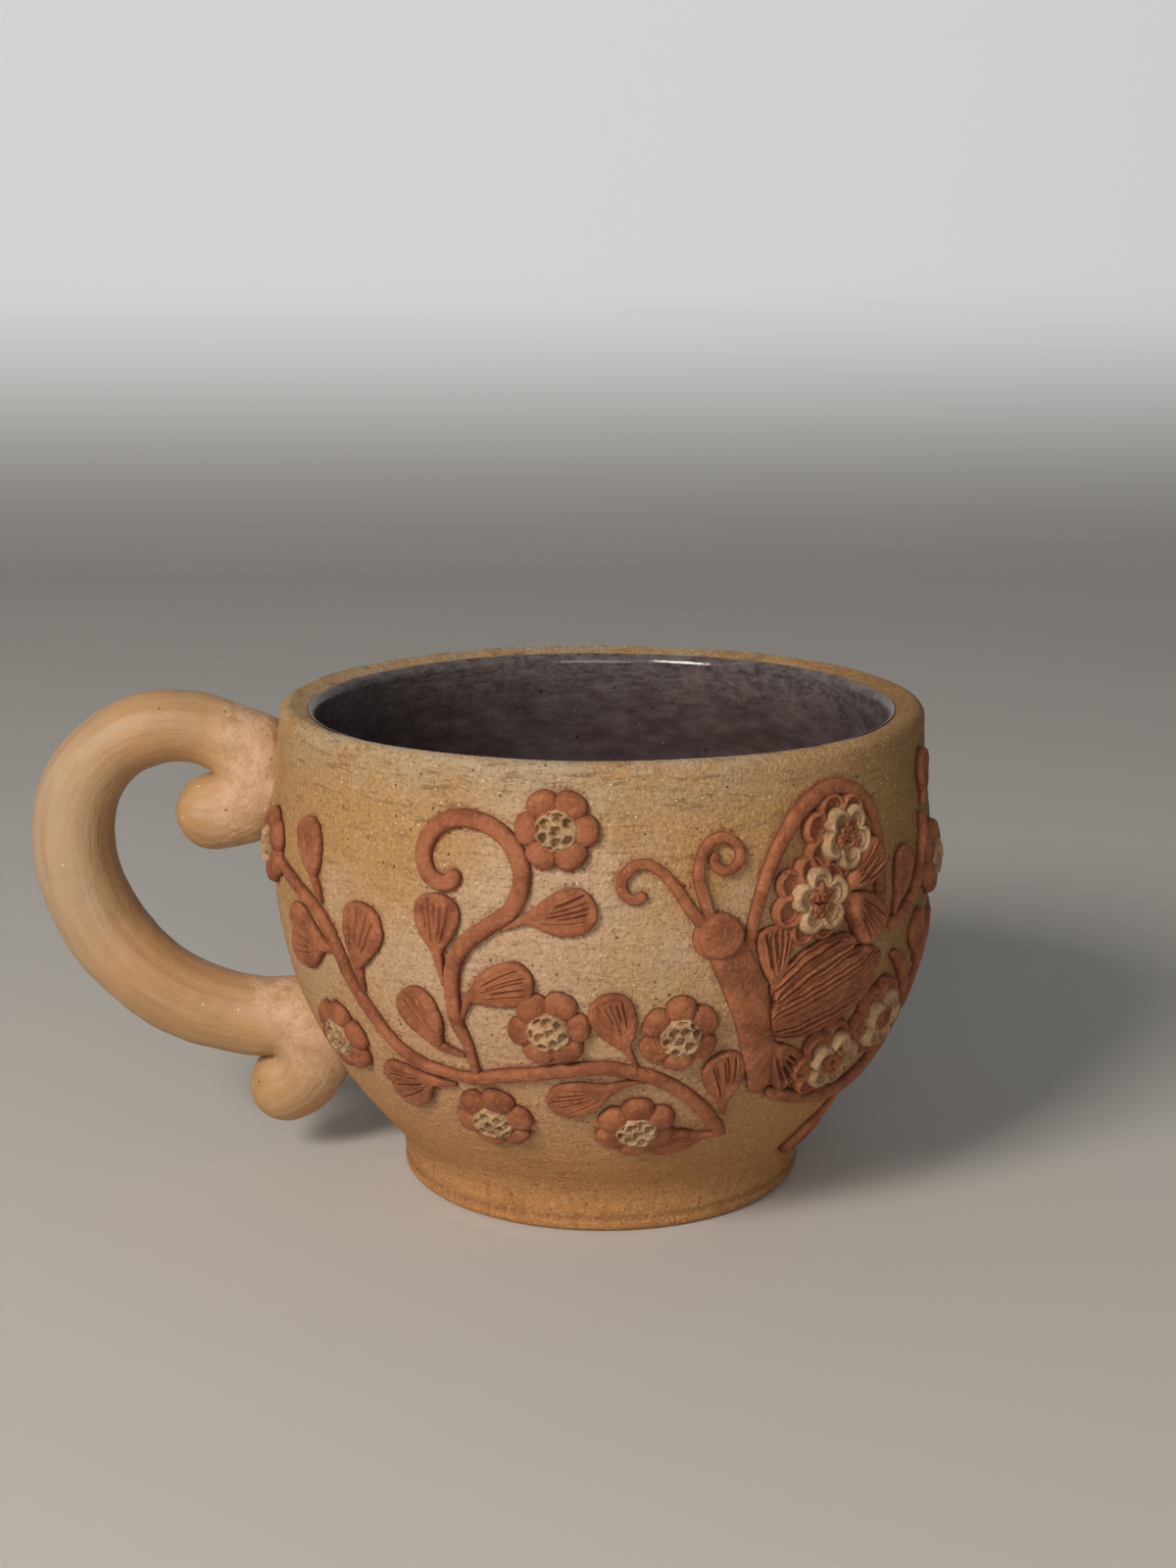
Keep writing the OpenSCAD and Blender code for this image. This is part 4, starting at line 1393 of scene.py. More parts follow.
    def leaf(self, name: str, row: Sequence, material: Material, seed: int, height: float = 1.3,
             strokes: int = 5, ragged: float = 0.1, depth: float = 0.44, tool: float = 0.15,
             fan: bool = False) -> Object:
        """Presses one leaf: a thin stalk, a drop-shaped blade and a fan of strokes.

        Args:
            name: The object's name.
            row: Stalk end, base and tip as places, then the shares of the width and of the notch.
            material: The finish.
            seed: Picks the differences from leaf to leaf.
            height: Height off the wall.
            strokes: How many strokes.
            ragged: Roughness of the edge.
            depth: Depth of the strokes.
            tool: Half width of the strokes.
            fan: Whether the blade is widest near its tip.

        Returns:
            The leaf.
        """
        *places, wide, notch = row
        root, base, tip = np.array(scaled(places))
        half = self.leaf_w / 2 * wide
        length = float(np.linalg.norm(tip - base))
        # The stalk runs on to its vine, which hides its end
        root = root + unit(root - base) * 0.8
        stem_n = max(4, round(np.linalg.norm(base - root) / 0.3))
        s = 1 - (1 - np.linspace(0, 1, round(length / self.pitch))) ** 1.35
        bend = 0.04 * length * math.sin(seed * 2.1) * np.sin(s * math.pi)[:, None]
        along = unit(tip - base)
        blade = base + s[:, None] * (tip - base) + bend * np.array([along[1], -along[0]])
        stem = root + np.linspace(0, 1, stem_n, endpoint=False)[:, None] * (base - root)
        shares = self.fan_shares if fan else self.leaf_shares
        blade_half = np.maximum(half * self.half_widths(shares, s), 0.05)
        stem_half = np.linspace(self.stalk_w / 4, max(self.stalk_w / 2, float(blade_half[0])), stem_n)
        tip_fall = np.sqrt(np.clip(1 - np.clip((s - 0.92) / 0.08, 0, 1) ** 2.4, 0, 1))
        heights = np.concatenate([np.linspace(0.5, 0.85, stem_n), 0.4 + 0.6 * tip_fall]) * height
        heights[stem_n:] *= 0.85 + 0.15 * step(0, 0.2, s)
        return self.press(name, np.vstack([stem, blade]), np.concatenate([stem_half, blade_half]), heights,
                          self.strokes(strokes, 0.6, depth, tool, seed), material, seed, ragged,
                          notch=notch * length, blade_from=stem_n / (stem_n + len(s)),
                          lean=0.2, hollow=self.thumb)

    def pad(self, name: str, places: Sequence[Place], width: float, height: float, flutes: int,
            material: Material, seed: int) -> Object:
        """Presses one fluted pad of a wing, with deep strokes along it.

        Args:
            name: The object's name.
            places: Its centre line, in millimetres.
            width: Its greatest width.
            height: Its height off the wall.
            flutes: How many strokes.
            material: The finish.
            seed: Picks the differences.

        Returns:
            The pad.
        """
        line = curve(places, 30)
        half = width / 2 * self.half_widths(self.pad_shares, np.linspace(0, 1, len(line)))
        cuts = self.strokes(flutes, 0.86, 0.85, 0.17, seed, start=-0.12, end=1.06)
        return self.press(name, line, half, np.full(len(line), height), cuts, material, seed, 0.2,
                          wander=0.3)


@dataclass
class Dome:
    """A pressed pellet in its own flat space: x to the right, y out from the flower, z off the wall."""

    half_x: float
    half_y: float
    height: float
    power: float = 2.6
    square: float = 2.0
    edge: float = 0.1
    rings: int = 15
    sides: int = 36
    focus: float = 0.0

    def outline(self) -> tuple[np.ndarray, np.ndarray]:
        """The pellet's outline.

        Returns:
            Its x and its y values.
        """
        a = np.linspace(0, 2 * math.pi, self.sides, endpoint=False)
        c, s = np.cos(a), np.sin(a)
        reach = (np.abs(c) ** self.square + np.abs(s) ** self.square) ** (-1 / self.square)
        return reach * c * self.half_x, reach * s * self.half_y

    def radii(self) -> np.ndarray:
        """Share of the way from the focus to the outline, for each ring on the crown."""
        return np.sin(np.linspace(0.02, 1, self.rings) * math.pi / 2)

    def skin(self, level: np.ndarray) -> np.ndarray:
        """Rings of points at the given heights, with an underside that is let into the wall.

        Args:
            level: A height for each point of each ring on the crown.

        Returns:
            Rings as (rings, points a ring, 3).
        """
        x, y = self.outline()
        rho = np.concatenate([self.radii(), [0.985, 0.94]])[:, None]
        under = np.repeat([[self.height * 0.05], [-SINK]], self.sides, axis=1)
        lifts = np.vstack([level, under])
        return np.stack([rho * x, self.focus + rho * (y - self.focus), lifts], -1)

    def points(self) -> np.ndarray:
        """Rings of points from the crown down to the wall, as skin gives them.

        Returns:
            Rings as (rings, points a ring, 3).
        """
        fall = (1 - self.radii() ** self.power) ** 0.5
        level = self.height * (self.edge + (1 - self.edge) * fall)
        return self.skin(np.broadcast_to(level[:, None], (self.rings, self.sides)))


@dataclass
class Spot:
    """Where a piece is laid on the wall, what it is made of, and what picks its differences."""

    name: str
    place: Place
    material: Material
    seed: int
    turn: float = 0.0


class Rosettes:
    """Rings of pressed petals, grown by Geometry Nodes and laid on the wall."""

    def __init__(self, wall: Wall) -> None:
        """Builds the tree: one petal set round a ring, each turned and sized a little differently.

        Args:
            wall: The wall that they are laid on.
        """
        self.wall = wall
        self.grown = g = Grown("petal_ring", Count=6, Radius=3.7 * MM, Turn=0.0, Sway=0.06, Seed=1)
        spots = g.add("GeometryNodePoints", {"Count": g["Count"]})
        index = g.add("GeometryNodeInputIndex")
        part = g.add("ShaderNodeMath", {0: index, 1: g["Count"]}, operation="DIVIDE")
        angle = g.add("ShaderNodeMath", {0: part, 1: math.tau, 2: g["Turn"]}, operation="MULTIPLY_ADD")
        back = g.add("ShaderNodeMath", {0: angle, 1: -1.0}, operation="MULTIPLY")
        less = g.add("ShaderNodeMath", {0: g["Sway"], 1: -1.0}, operation="MULTIPLY")
        sway = g.add("FunctionNodeRandomValue", {2: less, 3: g["Sway"], "Seed": g["Seed"]},
                     data_type="FLOAT")
        swung = g.add("ShaderNodeMath", {0: back, 1: sway.outputs[1]}, operation="ADD")
        turn = g.add("ShaderNodeCombineXYZ", {"Z": swung})
        small, large = (g.add("ShaderNodeMath", {0: 1.0, 1: g["Sway"]}, operation=kind)
                        for kind in ("SUBTRACT", "ADD"))
        size = g.add("FunctionNodeRandomValue", {0: small, 1: large, "Seed": g["Seed"]},
                     data_type="FLOAT_VECTOR")
        g.finish(g.add("GeometryNodeInstanceOnPoints",
                       {"Points": g.around(spots, angle, g["Radius"]), "Instance": g["Geometry"],
                        "Rotation": turn, "Scale": size}))

    def ring(self, spot: Spot, petal: np.ndarray, count: int, radius: float, sway: float = 0.06,
             lift: float = 0.0, groove: np.ndarray | None = None) -> Object:
        """Lays a ring of petals on the wall.

        Args:
            spot: The flower's place, with its first petal's turn in degrees, clockwise from up.
            petal: Rings of one petal's points.
            count: How many petals.
            radius: Distance of a petal's middle from the centre.
            sway: Greatest turn and change of size of a petal.
            lift: Height of the ring off the wall.
            groove: How deep in a fold each of the petal's points is, or none.

        Returns:
            The petals as one mesh.
        """
        holder = ring_solid(spot.name, petal, None)
        # The petals' folds get painted shade
        if groove is not None:
            paint(holder, "groove", closed(groove))
        made = self.grown.grow(holder, Count=count, Radius=radius * MM, Turn=math.radians(spot.turn),
                               Sway=sway, Seed=spot.seed, Material=spot.material)
        return self.lay(made, spot, lift)

    def lay(self, made: Object, spot: Spot, lift: float = 0.0, rough: float = 0.05) -> Object:
        """Bends a flat piece on to the wall and makes its surface uneven.

        Args:
            made: The piece, in its own flat space.
            spot: Where it goes.
            lift: Height of its lowest points off the wall.
            rough: Height of the unevenness.

        Returns:
            The same piece.
        """
        co = coordinates(made)
        top = step(0.1, 0.6, co[:, 2])
        co[:, 2] += top * rough * (lumps(co, 1.4, spot.seed) + 0.6 * lumps(co, 0.5, spot.seed + 1))
        place = np.broadcast_to(np.array(spot.place, float), (len(co), 2))
        set_coordinates(made, self.wall.laid(place, co[:, 0], co[:, 1], co[:, 2] + lift))
        return made


@dataclass
class PelletFlower:
    """Six pressed pellets round a pale poked centre."""

    rosettes: Rosettes
    buttons: PokedButtons
    size: float = 11.8
    petal_w: float = 4.75
    petal_l: float = 4.1
    petal_t: float = 1.7
    centre: float = 6.0
    centre_t: float = 2.25
    count: int = 6

    def petals(self, spot: Spot) -> Object:
        """Builds the ring of pellets, which crease where they are pressed together."""
        pellet = Dome(self.petal_w / 2, self.petal_l / 2, self.petal_t, power=3.4, square=2.35, edge=0.02)
        return self.rosettes.ring(spot, pellet.points(), self.count, (self.size - self.petal_l) / 2)

    def middle(self, spot: Spot) -> Object:
        """Builds the pale centre."""
        return self.buttons.poke(spot, self.centre, self.centre_t)


class PokedButtons:
    """Pale buttons of clay poked all over, grown by Geometry Nodes."""

    rim_w = 0.2

    def __init__(self, rosettes: Rosettes) -> None:
        """Builds the tree: scattered holes that sink the crown of a button.

        Args:
            rosettes: What lays them on the wall.
        """
        self.rosettes = rosettes
        self.grown = g = Grown("poked_button", Spacing=1.5 * MM, Hole=0.88 * MM, Depth=1.3 * MM,
                               Edge=2.8 * MM, Seed=1)
        crown = g.add("GeometryNodeInputPosition")
        parts = g.add("ShaderNodeSeparateXYZ", {0: crown})
        top = g.add("ShaderNodeMath", {0: parts.outputs["Z"], 1: 0.9 * MM}, operation="GREATER_THAN")
        spots = g.add("GeometryNodeDistributePointsOnFaces",
                      {"Mesh": g["Geometry"], "Selection": top, "Distance Min": g["Spacing"],
                       "Density Max": 4.0e6, "Seed": g["Seed"]}, distribute_method="POISSON")
        # The holes' edges are torn, so the place that they are read at wavers by up to half of this
        torn = 0.9 * MM
        wave = g.add("ShaderNodeTexNoise", {"Vector": crown, "Scale": per(0.8), "Detail": 1})
        bent = g.add("ShaderNodeVectorMath", {0: wave.outputs["Color"], 1: (torn,) * 3, 2: crown},
                     operation="MULTIPLY_ADD")
        level = g.add("ShaderNodeVectorMath", {0: bent, 1: (torn / 2,) * 3}, operation="SUBTRACT")
        near = g.add("GeometryNodeProximity", {0: spots, 2: level}, target_element="POINTS")
        fade = g.add("ShaderNodeMapRange",
                     {"Value": near.outputs["Distance"], "From Min": 0.32 * MM, "From Max": g["Hole"],
                      "To Min": 1.0, "To Max": 0.0}, interpolation_type="SMOOTHSTEP")
        # The tool stays inside the button's edge, so that a thin rim of clay is left standing
        flat = g.add("ShaderNodeCombineXYZ", {axis: parts.outputs[axis] for axis in "XY"})
        reach = g.add("ShaderNodeVectorMath", {0: flat}, operation="LENGTH").outputs["Value"]
        room = g.add("ShaderNodeMath", {0: g["Edge"], 1: reach}, operation="SUBTRACT")
        kept = g.add("ShaderNodeMapRange", {"Value": room, "From Max": 0.45 * MM},
                     interpolation_type="SMOOTHSTEP")
        hole = g.add("ShaderNodeMath", {0: fade, 1: kept}, operation="MULTIPLY")
        sunk = g.add("ShaderNodeMath", {0: hole, 1: g["Depth"]}, operation="MULTIPLY")
        down = g.add("ShaderNodeMath", {0: sunk, 1: -1.0}, operation="MULTIPLY")
        offset = g.add("ShaderNodeCombineXYZ", {"Z": down})
        sink = g.add("GeometryNodeSetPosition",
                     {"Geometry": g["Geometry"], "Selection": top, "Offset": offset})
        # The holes are stored for the shade that is painted in them
        g.finish(g.add("GeometryNodeStoreNamedAttribute",
                       {"Geometry": sink, "Name": "groove", "Value": hole}, data_type="FLOAT",
                       domain="POINT"))

    def poke(self, spot: Spot, size: float, height: float) -> Object:
        """Makes one poked button and lays it on the wall.

        Args:
            spot: Where it goes.
            size: Its diameter.
            height: Its height off the wall.

        Returns:
            The button.
        """
        button = Dome(size / 2, size / 2, height, power=6.0, edge=0.4, rings=44, sides=120).points()
        rim = button[-3] + [0, 0, spot.seed]
        wide = 1 + 0.07 * lumps(rim, 1.5, spot.seed) + 0.05 * lumps(rim, 0.5, spot.seed + 3)
        button[..., :2] *= wide[None, :, None]
        made = self.grown.grow(ring_solid(spot.name, button, None), Edge=(size / 2 - self.rim_w) * MM,
                               Seed=spot.seed, Material=spot.material)
        return self.rosettes.lay(made, spot, rough=0.14)


@dataclass
class WingFlower:
    """A frill of folded red petals, five cream petals and a stringy red heart."""

    rosettes: Rosettes
    strings: Strings
    frill: float = 12.9
    frill_petal: float = 5.0
    frill_t: float = 1.3
    blossom: float = 9.9
    blossom_petal: float = 4.1
    blossom_t: float = 1.3
    frill_count: int = 7
    blossom_count: int = 5
    heart_r: float = 2.05

    @staticmethod
    def cupped(size: float, height: float, depth: float, focus: float,
               rimmed: float) -> tuple[np.ndarray, np.ndarray]:
        """One petal like an ear: a thick rim round two folds that step down to a hollow.

        Args:
            size: Diameter of the petal.
            height: Height of its rim.
            depth: Depth of its cup.
            focus: Where the hollow lies, as a share of the radius, outwards from the middle.
            rimmed: 1 for a rim all round the hollow, 0 for one that opens towards the heart.

        Returns:
            The petal's rings of points, and how deep in a fold each is.
        """
        half = size / 2
        form = Dome(half, half, height, square=2.2, rings=34, sides=60, focus=focus * half)
        rho, (_, y) = form.radii()[:, None], form.outline()
        outward = np.maximum(rimmed, step(-0.75, 0.15, y / half))[None]
        rim = (1 - np.clip((rho - 0.7) / 0.3, 0, 1) ** 2.4) ** 0.5
        cup = step(0.15, 0.74, rho) * (0.35 + 0.65 * outward)
        folds = np.exp(-((rho - 0.57) / 0.05) ** 2) + 0.7 * np.exp(-((rho - 0.37) / 0.045) ** 2)
        level = height * (0.06 + 0.94 * rim) - depth * (1 - cup) * rim - 0.32 * depth * folds * outward
        # The folds are kept for the shade that is painted in them
        groove = np.vstack([np.clip(folds * outward, 0, 1), np.zeros((2, form.sides))])
        return form.skin(np.maximum(level, 0.15)), groove

    def under(self, spot: Spot) -> Object:
        """Builds the frill and the disc of clay that it sits on.

        Args:
            spot: Where it goes.

        Returns:
            Both as one mesh.
        """
        petal, groove = self.cupped(self.frill_petal, self.frill_t * 1.3, 1.0, 0.25, 1)
        radius = (self.frill - self.frill_petal) / 2
        ring = self.rosettes.ring(spot, petal, self.frill_count, radius, sway=0.09, groove=groove)
        flat = Dome(radius * 0.85, radius * 0.85, self.frill_t * 0.85, power=6)
        disc = ring_solid(spot.name + "_disc", flat.points(), spot.material)
        return joined(spot.name, [ring, self.rosettes.lay(disc, spot)])

    def over(self, spot: Spot) -> Object:
        """Builds the ring of cream petals on the frill.

        Args:
            spot: Where it goes.

        Returns:
            The petals.
        """
        petal, groove = self.cupped(self.blossom_petal, self.blossom_t * 1.2, 0.85, -0.6, 0)
        return self.rosettes.ring(spot, petal, self.blossom_count, (self.blossom - self.blossom_petal) / 2,
                                  sway=0.1, lift=self.frill_t * 0.7, groove=groove)

    def heart(self, spot: Spot) -> Object:
        """Builds the tuft of red strings in the middle."""
        return self.strings.tuft(spot, self.heart_r, self.frill_t + self.blossom_t * 0.3)


class Strings:
    """Tufts of clay strings pushed through a sieve, grown by Geometry Nodes."""

    def __init__(self, rosettes: Rosettes) -> None:
        """Builds the tree: short bent strings scattered on a small disc.

        Args:
            rosettes: What lays them on the wall.
        """
        self.rosettes = rosettes
        self.grown = g = Grown("string_tuft", Radius=1.6 * MM, Count=34, Seed=1)
        spots = g.add("GeometryNodePoints", {"Count": g["Count"]})
        angle = g.add("FunctionNodeRandomValue", {2: 0.0, 3: math.tau, "Seed": g["Seed"]},
                      data_type="FLOAT")
        # Other numbers than the angle's, or the strings would lie along a spiral
        index = g.add("GeometryNodeInputIndex")
        other = g.add("ShaderNodeMath", {0: index, 1: 101.0}, operation="ADD")
        far = g.add("FunctionNodeRandomValue", {2: 0.05, 3: 1.0, "ID": other, "Seed": g["Seed"]},
                    data_type="FLOAT")
        root = g.add("ShaderNodeMath", {0: far.outputs[1]}, operation="SQRT")
        reach = g.add("ShaderNodeMath", {0: root, 1: g["Radius"]}, operation="MULTIPLY")
        spin = g.add("FunctionNodeRandomValue",
                     {0: (-0.7, -0.7, 0.0), 1: (0.7, 0.7, math.tau), "Seed": g["Seed"]},
                     data_type="FLOAT_VECTOR")
        size = g.add("FunctionNodeRandomValue", {2: 0.7, 3: 1.25, "Seed": g["Seed"]}, data_type="FLOAT")
        g.finish(g.add("GeometryNodeInstanceOnPoints",
                       {"Points": g.around(spots, angle.outputs[1], reach), "Instance": g["Geometry"],
                        "Rotation": spin, "Scale": size.outputs[1]}))

    @staticmethod
    def string() -> np.ndarray:
        """Rings of one short bent string.

        Returns:
            Rings as (rings, points a ring, 3).
        """
        t = np.linspace(0, 1, 9)
        a = np.linspace(0, 2 * math.pi, 8, endpoint=False)
        bend = 2.4 * (t - 0.5)
        centre = np.stack([0.75 * np.sin(bend), 0.45 * np.cos(bend) - 0.4, 0.25 * np.sin(3 * t)], -1)
        r = 0.3 * np.sqrt(np.clip(1 - (2 * t - 1) ** 4, 0.05, 1))
        way = unit(np.gradient(centre, axis=0))
        side = unit(np.cross(way, [0, 0, 1.0]))
        over = np.cross(side, way)
        ring = np.cos(a)[:, None] * side[:, None] + np.sin(a)[:, None] * over[:, None]
        return centre[:, None] + r[:, None, None] * ring

    def tuft(self, spot: Spot, radius: float, lift: float) -> Object:
        """Makes one tuft and lays it on the wall.

        Args:
            spot: Where it goes.
            radius: Radius of the disc that it stands on.
            lift: Height of that disc off the wall.

        Returns:
            The tuft.
        """
        made = self.grown.grow(ring_solid(spot.name, self.string(), None), Radius=radius * MM,
                               Seed=spot.seed, Material=spot.material)
        return self.rosettes.lay(made, spot, lift, rough=0.04)


def scaled(places: Any) -> np.ndarray:
    """Places of the drawing in millimetres, from shares of its 100 mm unit."""
    return 100 * np.array(places, float)


@dataclass
class Relief:
    """Every piece that is luted on the wall, where the drawing puts it."""

    wall: Wall
    red: Material
    cream: Material
    made: list[Object] = field(default_factory=list)

    LEFT_VINE = ((-0.605, 0.545), (-0.54, 0.527), (-0.47, 0.5), (-0.432, 0.46), (-0.407, 0.415),
                 (-0.377, 0.375), (-0.335, 0.325), (-0.292, 0.303), (-0.252, 0.297), (-0.226, 0.295))
    SCROLL_VINE = ((-0.196, 0.298), (-0.201, 0.345), (-0.215, 0.385), (-0.218, 0.425), (-0.214, 0.466),
                   (-0.195, 0.502), (-0.161, 0.53), (-0.128, 0.555), (-0.113, 0.59), (-0.116, 0.625),
                   (-0.136, 0.655), (-0.17, 0.674), (-0.211, 0.677), (-0.246, 0.657), (-0.26, 0.625),
                   (-0.252, 0.597), (-0.232, 0.585), (-0.215, 0.59), (-0.209, 0.606))
    RIGHT_VINE = ((-0.235, 0.294), (-0.191, 0.295), (-0.151, 0.304), (-0.102, 0.312), (-0.042, 0.322),
                  (0.005, 0.325), (0.043, 0.318), (0.081, 0.305), (0.122, 0.28), (0.16, 0.248),
                  (0.193, 0.215), (0.218, 0.188))
    LEFT_FEELER = ((0.142, 0.53), (0.12, 0.556), (0.104, 0.581), (0.085, 0.606), (0.064, 0.621),
                   (0.042, 0.62), (0.026, 0.604), (0.026, 0.585), (0.041, 0.574), (0.059, 0.582))
    RIGHT_FEELER = ((0.149, 0.538), (0.138, 0.574), (0.132, 0.599), (0.135, 0.627), (0.147, 0.647),
                    (0.168, 0.654), (0.188, 0.643), (0.193, 0.625), (0.182, 0.61), (0.164, 0.609),
                    (0.153, 0.622), (0.16, 0.634))
    BODY = ((0.168, 0.512), (0.182, 0.478), (0.205, 0.43), (0.22, 0.387), (0.24, 0.325), (0.26, 0.254))
    UPPER_RIM = ((0.2, 0.486), (0.206, 0.513), (0.215, 0.547), (0.227, 0.582), (0.244, 0.617),
                 (0.266, 0.65), (0.29, 0.676), (0.318, 0.695), (0.348, 0.704), (0.385, 0.699),
                 (0.418, 0.679), (0.439, 0.648), (0.447, 0.613), (0.449, 0.58), (0.45, 0.543),
                 (0.45, 0.505))
    LOWER_RIM = ((0.275, 0.258), (0.338, 0.236), (0.405, 0.219), (0.488, 0.214), (0.55, 0.228),
                 (0.588, 0.256), (0.603, 0.302), (0.588, 0.354), (0.545, 0.402), (0.502, 0.432))
    UPPER_PAD = ((0.248, 0.415), (0.286, 0.444), (0.328, 0.463), (0.388, 0.479))
    LOWER_PAD = ((0.249, 0.377), (0.299, 0.388), (0.347, 0.401), (0.397, 0.418), (0.444, 0.452))
    HEAD = (0.158, 0.517)
    LEAVES = (
        ((-0.468, 0.523), (-0.481, 0.55), (-0.516, 0.632), 0.95, 0),
        ((-0.447, 0.45), (-0.465, 0.452), (-0.576, 0.455), 1.5, 0.2),
        ((-0.381, 0.408), (-0.386, 0.438), (-0.362, 0.535), 1.15, 0),
        ((-0.218, 0.331), (-0.25, 0.34), (-0.3, 0.42), 1, 0),
        ((-0.246, 0.275), (-0.283, 0.276), (-0.389, 0.247), 1.25, 0.25),
        ((-0.232, 0.445), (-0.237, 0.484), (-0.238, 0.57), 1.05, 0),
        ((-0.135, 0.531), (-0.106, 0.546), (-0.01, 0.568), 0.99, 0),
        ((-0.206, 0.392), (-0.192, 0.424), (-0.096, 0.458), 0.97, 0),
        ((0.046, 0.332), (0.034, 0.356), (0.0, 0.438), 0.97, 0),
        ((0.205, 0.233), (0.197, 0.25), (0.177, 0.338), 0.95, 0),
        ((0.053, 0.302), (0.014, 0.292), (-0.087, 0.26), 0.95, 0),
        ((0.207, 0.19), (0.18, 0.191), (0.08, 0.179), 0.82, 0),
    )
    LEAF_STROKES = (4, 6, 4, 4, 3, 5, 5, 5, 6, 5, 4, 4)
    TORN_LEAVES = (1, 3, 5)
    WING_LEAVES = (
        ((0.25, 0.418), (0.249, 0.436), (0.244, 0.523), 0.88, 0),
        ((0.359, 0.558), (0.364, 0.561), (0.438, 0.607), 0.95, 0),
        ((0.362, 0.552), (0.367, 0.548), (0.434, 0.484), 1, 0),
        ((0.261, 0.342), (0.265, 0.336), (0.328, 0.268), 0.95, 0.05),
        ((0.515, 0.185), (0.506, 0.16), (0.482, 0.088), 0.7, 0),
    )
    WING_LEAF_SIZES = ({}, {"height": 2.7}, {"height": 2.7}, {"strokes": 4, "depth": 0.8, "tool": 0.3},
                       {"strokes": 4, "fan": False})
    BACK_LEAVES = (
        ((0.497, 0.499), (0.5, 0.512), (0.533, 0.588), 0.8, 0),
        ((0.622, 0.636), (0.627, 0.646), (0.65, 0.71), 0.8, 0),
        ((0.638, 0.385), (0.626, 0.4), (0.577, 0.47), 0.9, 0),
        ((0.868, 0.449), (0.859, 0.465), (0.825, 0.545), 1, 0),
        ((1.135, 0.33), (1.126, 0.35), (1.061, 0.435), 1, 0),
        ((1.35, 0.343), (1.352, 0.358), (1.366, 0.43), 0.9, 0),
        ((1.49, 0.509), (1.5, 0.522), (1.565, 0.585), 1, 0),
    )
    FLOWERS = (((-0.66, 0.56), 0), ((-0.472, 0.307), 15), ((-0.065, 0.669), 30), ((-0.076, 0.385), 24),
               ((0.11, 0.375), 0), ((-0.185, 0.222), 18), ((0.056, 0.217), 0))
    WING_FLOWERS = (((0.367, 0.632), 36), ((0.314, 0.55), -3), ((0.5, 0.331), 12), ((0.39, 0.292), 8))
    # Each frill sits a little to the left of its blossom, in millimetres
    FRILL_ASIDE = (-1.0, 0.2)
    SMUDGES = ((-0.24, 0.69), (-0.2, 0.705), (-0.09, 0.6), (0.275, 0.69), (-0.33, 0.29))
    BACK_FLOWERS = (((0.665, 0.54), 0), ((0.823, 0.355), 20), ((0.984, 0.47), 0), ((1.208, 0.42), 10),
                    ((1.545, 0.385), 25), ((1.69, 0.53), 0))
    BACK_STEM = ((0.479, 0.478), (0.521, 0.49), (0.56, 0.51), (0.588, 0.545), (0.607, 0.585),
                 (0.61, 0.622))
    BACK_VINE = ((0.651, 0.3), (0.705, 0.32), (0.736, 0.4), (0.81, 0.43), (0.893, 0.42), (0.984, 0.37),
                 (1.109, 0.31), (1.215, 0.3), (1.308, 0.315), (1.396, 0.335), (1.441, 0.4),
                 (1.476, 0.47), (1.542, 0.49), (1.612, 0.45), (1.656, 0.4))

    def __post_init__(self) -> None:
        """Sets up the makers of each kind of piece."""
        self.coils = Coils(self.wall)
        self.blades = Blades(self.wall)
        self.rosettes = Rosettes(self.wall)
        self.pellet = PelletFlower(self.rosettes, PokedButtons(self.rosettes))
        self.winged = WingFlower(self.rosettes, Strings(self.rosettes))

    def keep(self, piece: Object, slot: Slot, *nodes: str) -> None:
        """Seats a piece, marks its foot, where shade is painted in the seam with the wall, and remembers it.

        Args:
            piece: The piece.
            slot: Its material slot.
            *nodes: The nodes that it replaces.
        """
        co = coordinates(piece)
        off = self.off_wall(co)
        # Painted shade along the foot, where the piece meets the wall
        paint(piece, "seam", 1 - step(0.1, 0.75, off / np.sqrt(1 + self.wall.slope(co[:, 2]) ** 2)))
        self.made.append(seat(piece, slot, *nodes))

    def off_wall(self, co: np.ndarray) -> np.ndarray:
        """How far points are from the wall, measured level."""
        return np.hypot(co[:, 0], co[:, 1]) - self.wall.radius(co[:, 2])

    def vines(self) -> None:
        """Rolls the vines, the butterfly's feelers and body, and the coils round its wings."""
        soft = ((0, 1.15), (0.12, 1.08), (0.4, 0.95), (0.9, 0.9), (1, 0.85))
        rows = (
            ("left_vine", self.LEFT_VINE, 1.9, 1.3, ((0, 0.7), (0.12, 0.95), (0.9, 1), (1, 0.7))),
            ("scroll_vine", self.SCROLL_VINE, 2.3, 1.35,
             ((0, 0.5), (0.06, 0.62), (0.16, 0.9), (0.3, 1.05), (0.6, 1.1), (0.85, 1.05), (1, 1))),
            ("right_vine", self.RIGHT_VINE, 2.0, 1.3, ((0, 0.7), (0.08, 1), (0.85, 1.05), (1, 0.9))),
            ("left_feeler", self.LEFT_FEELER, 1.6, 1.15, soft),
            ("right_feeler", self.RIGHT_FEELER, 1.6, 1.15, soft),
            ("upper_wing_rim", self.UPPER_RIM, 2.1, 1.4,
             ((0, 0.75), (0.15, 0.85), (0.35, 1.05), (0.5, 1.12), (0.65, 0.98), (1, 0.85))),
            ("lower_wing_rim", self.LOWER_RIM, 2.1, 1.4, ((0, 0.8), (0.05, 1), (0.94, 1), (1, 0.7))),
        )
        for seed, (name, places, width, height, taper) in enumerate(rows):
            coil = self.coils.roll(name + "_rolled", scaled(places), width, height, taper, self.red, seed)
            self.keep(coil, Slot.RED, name)
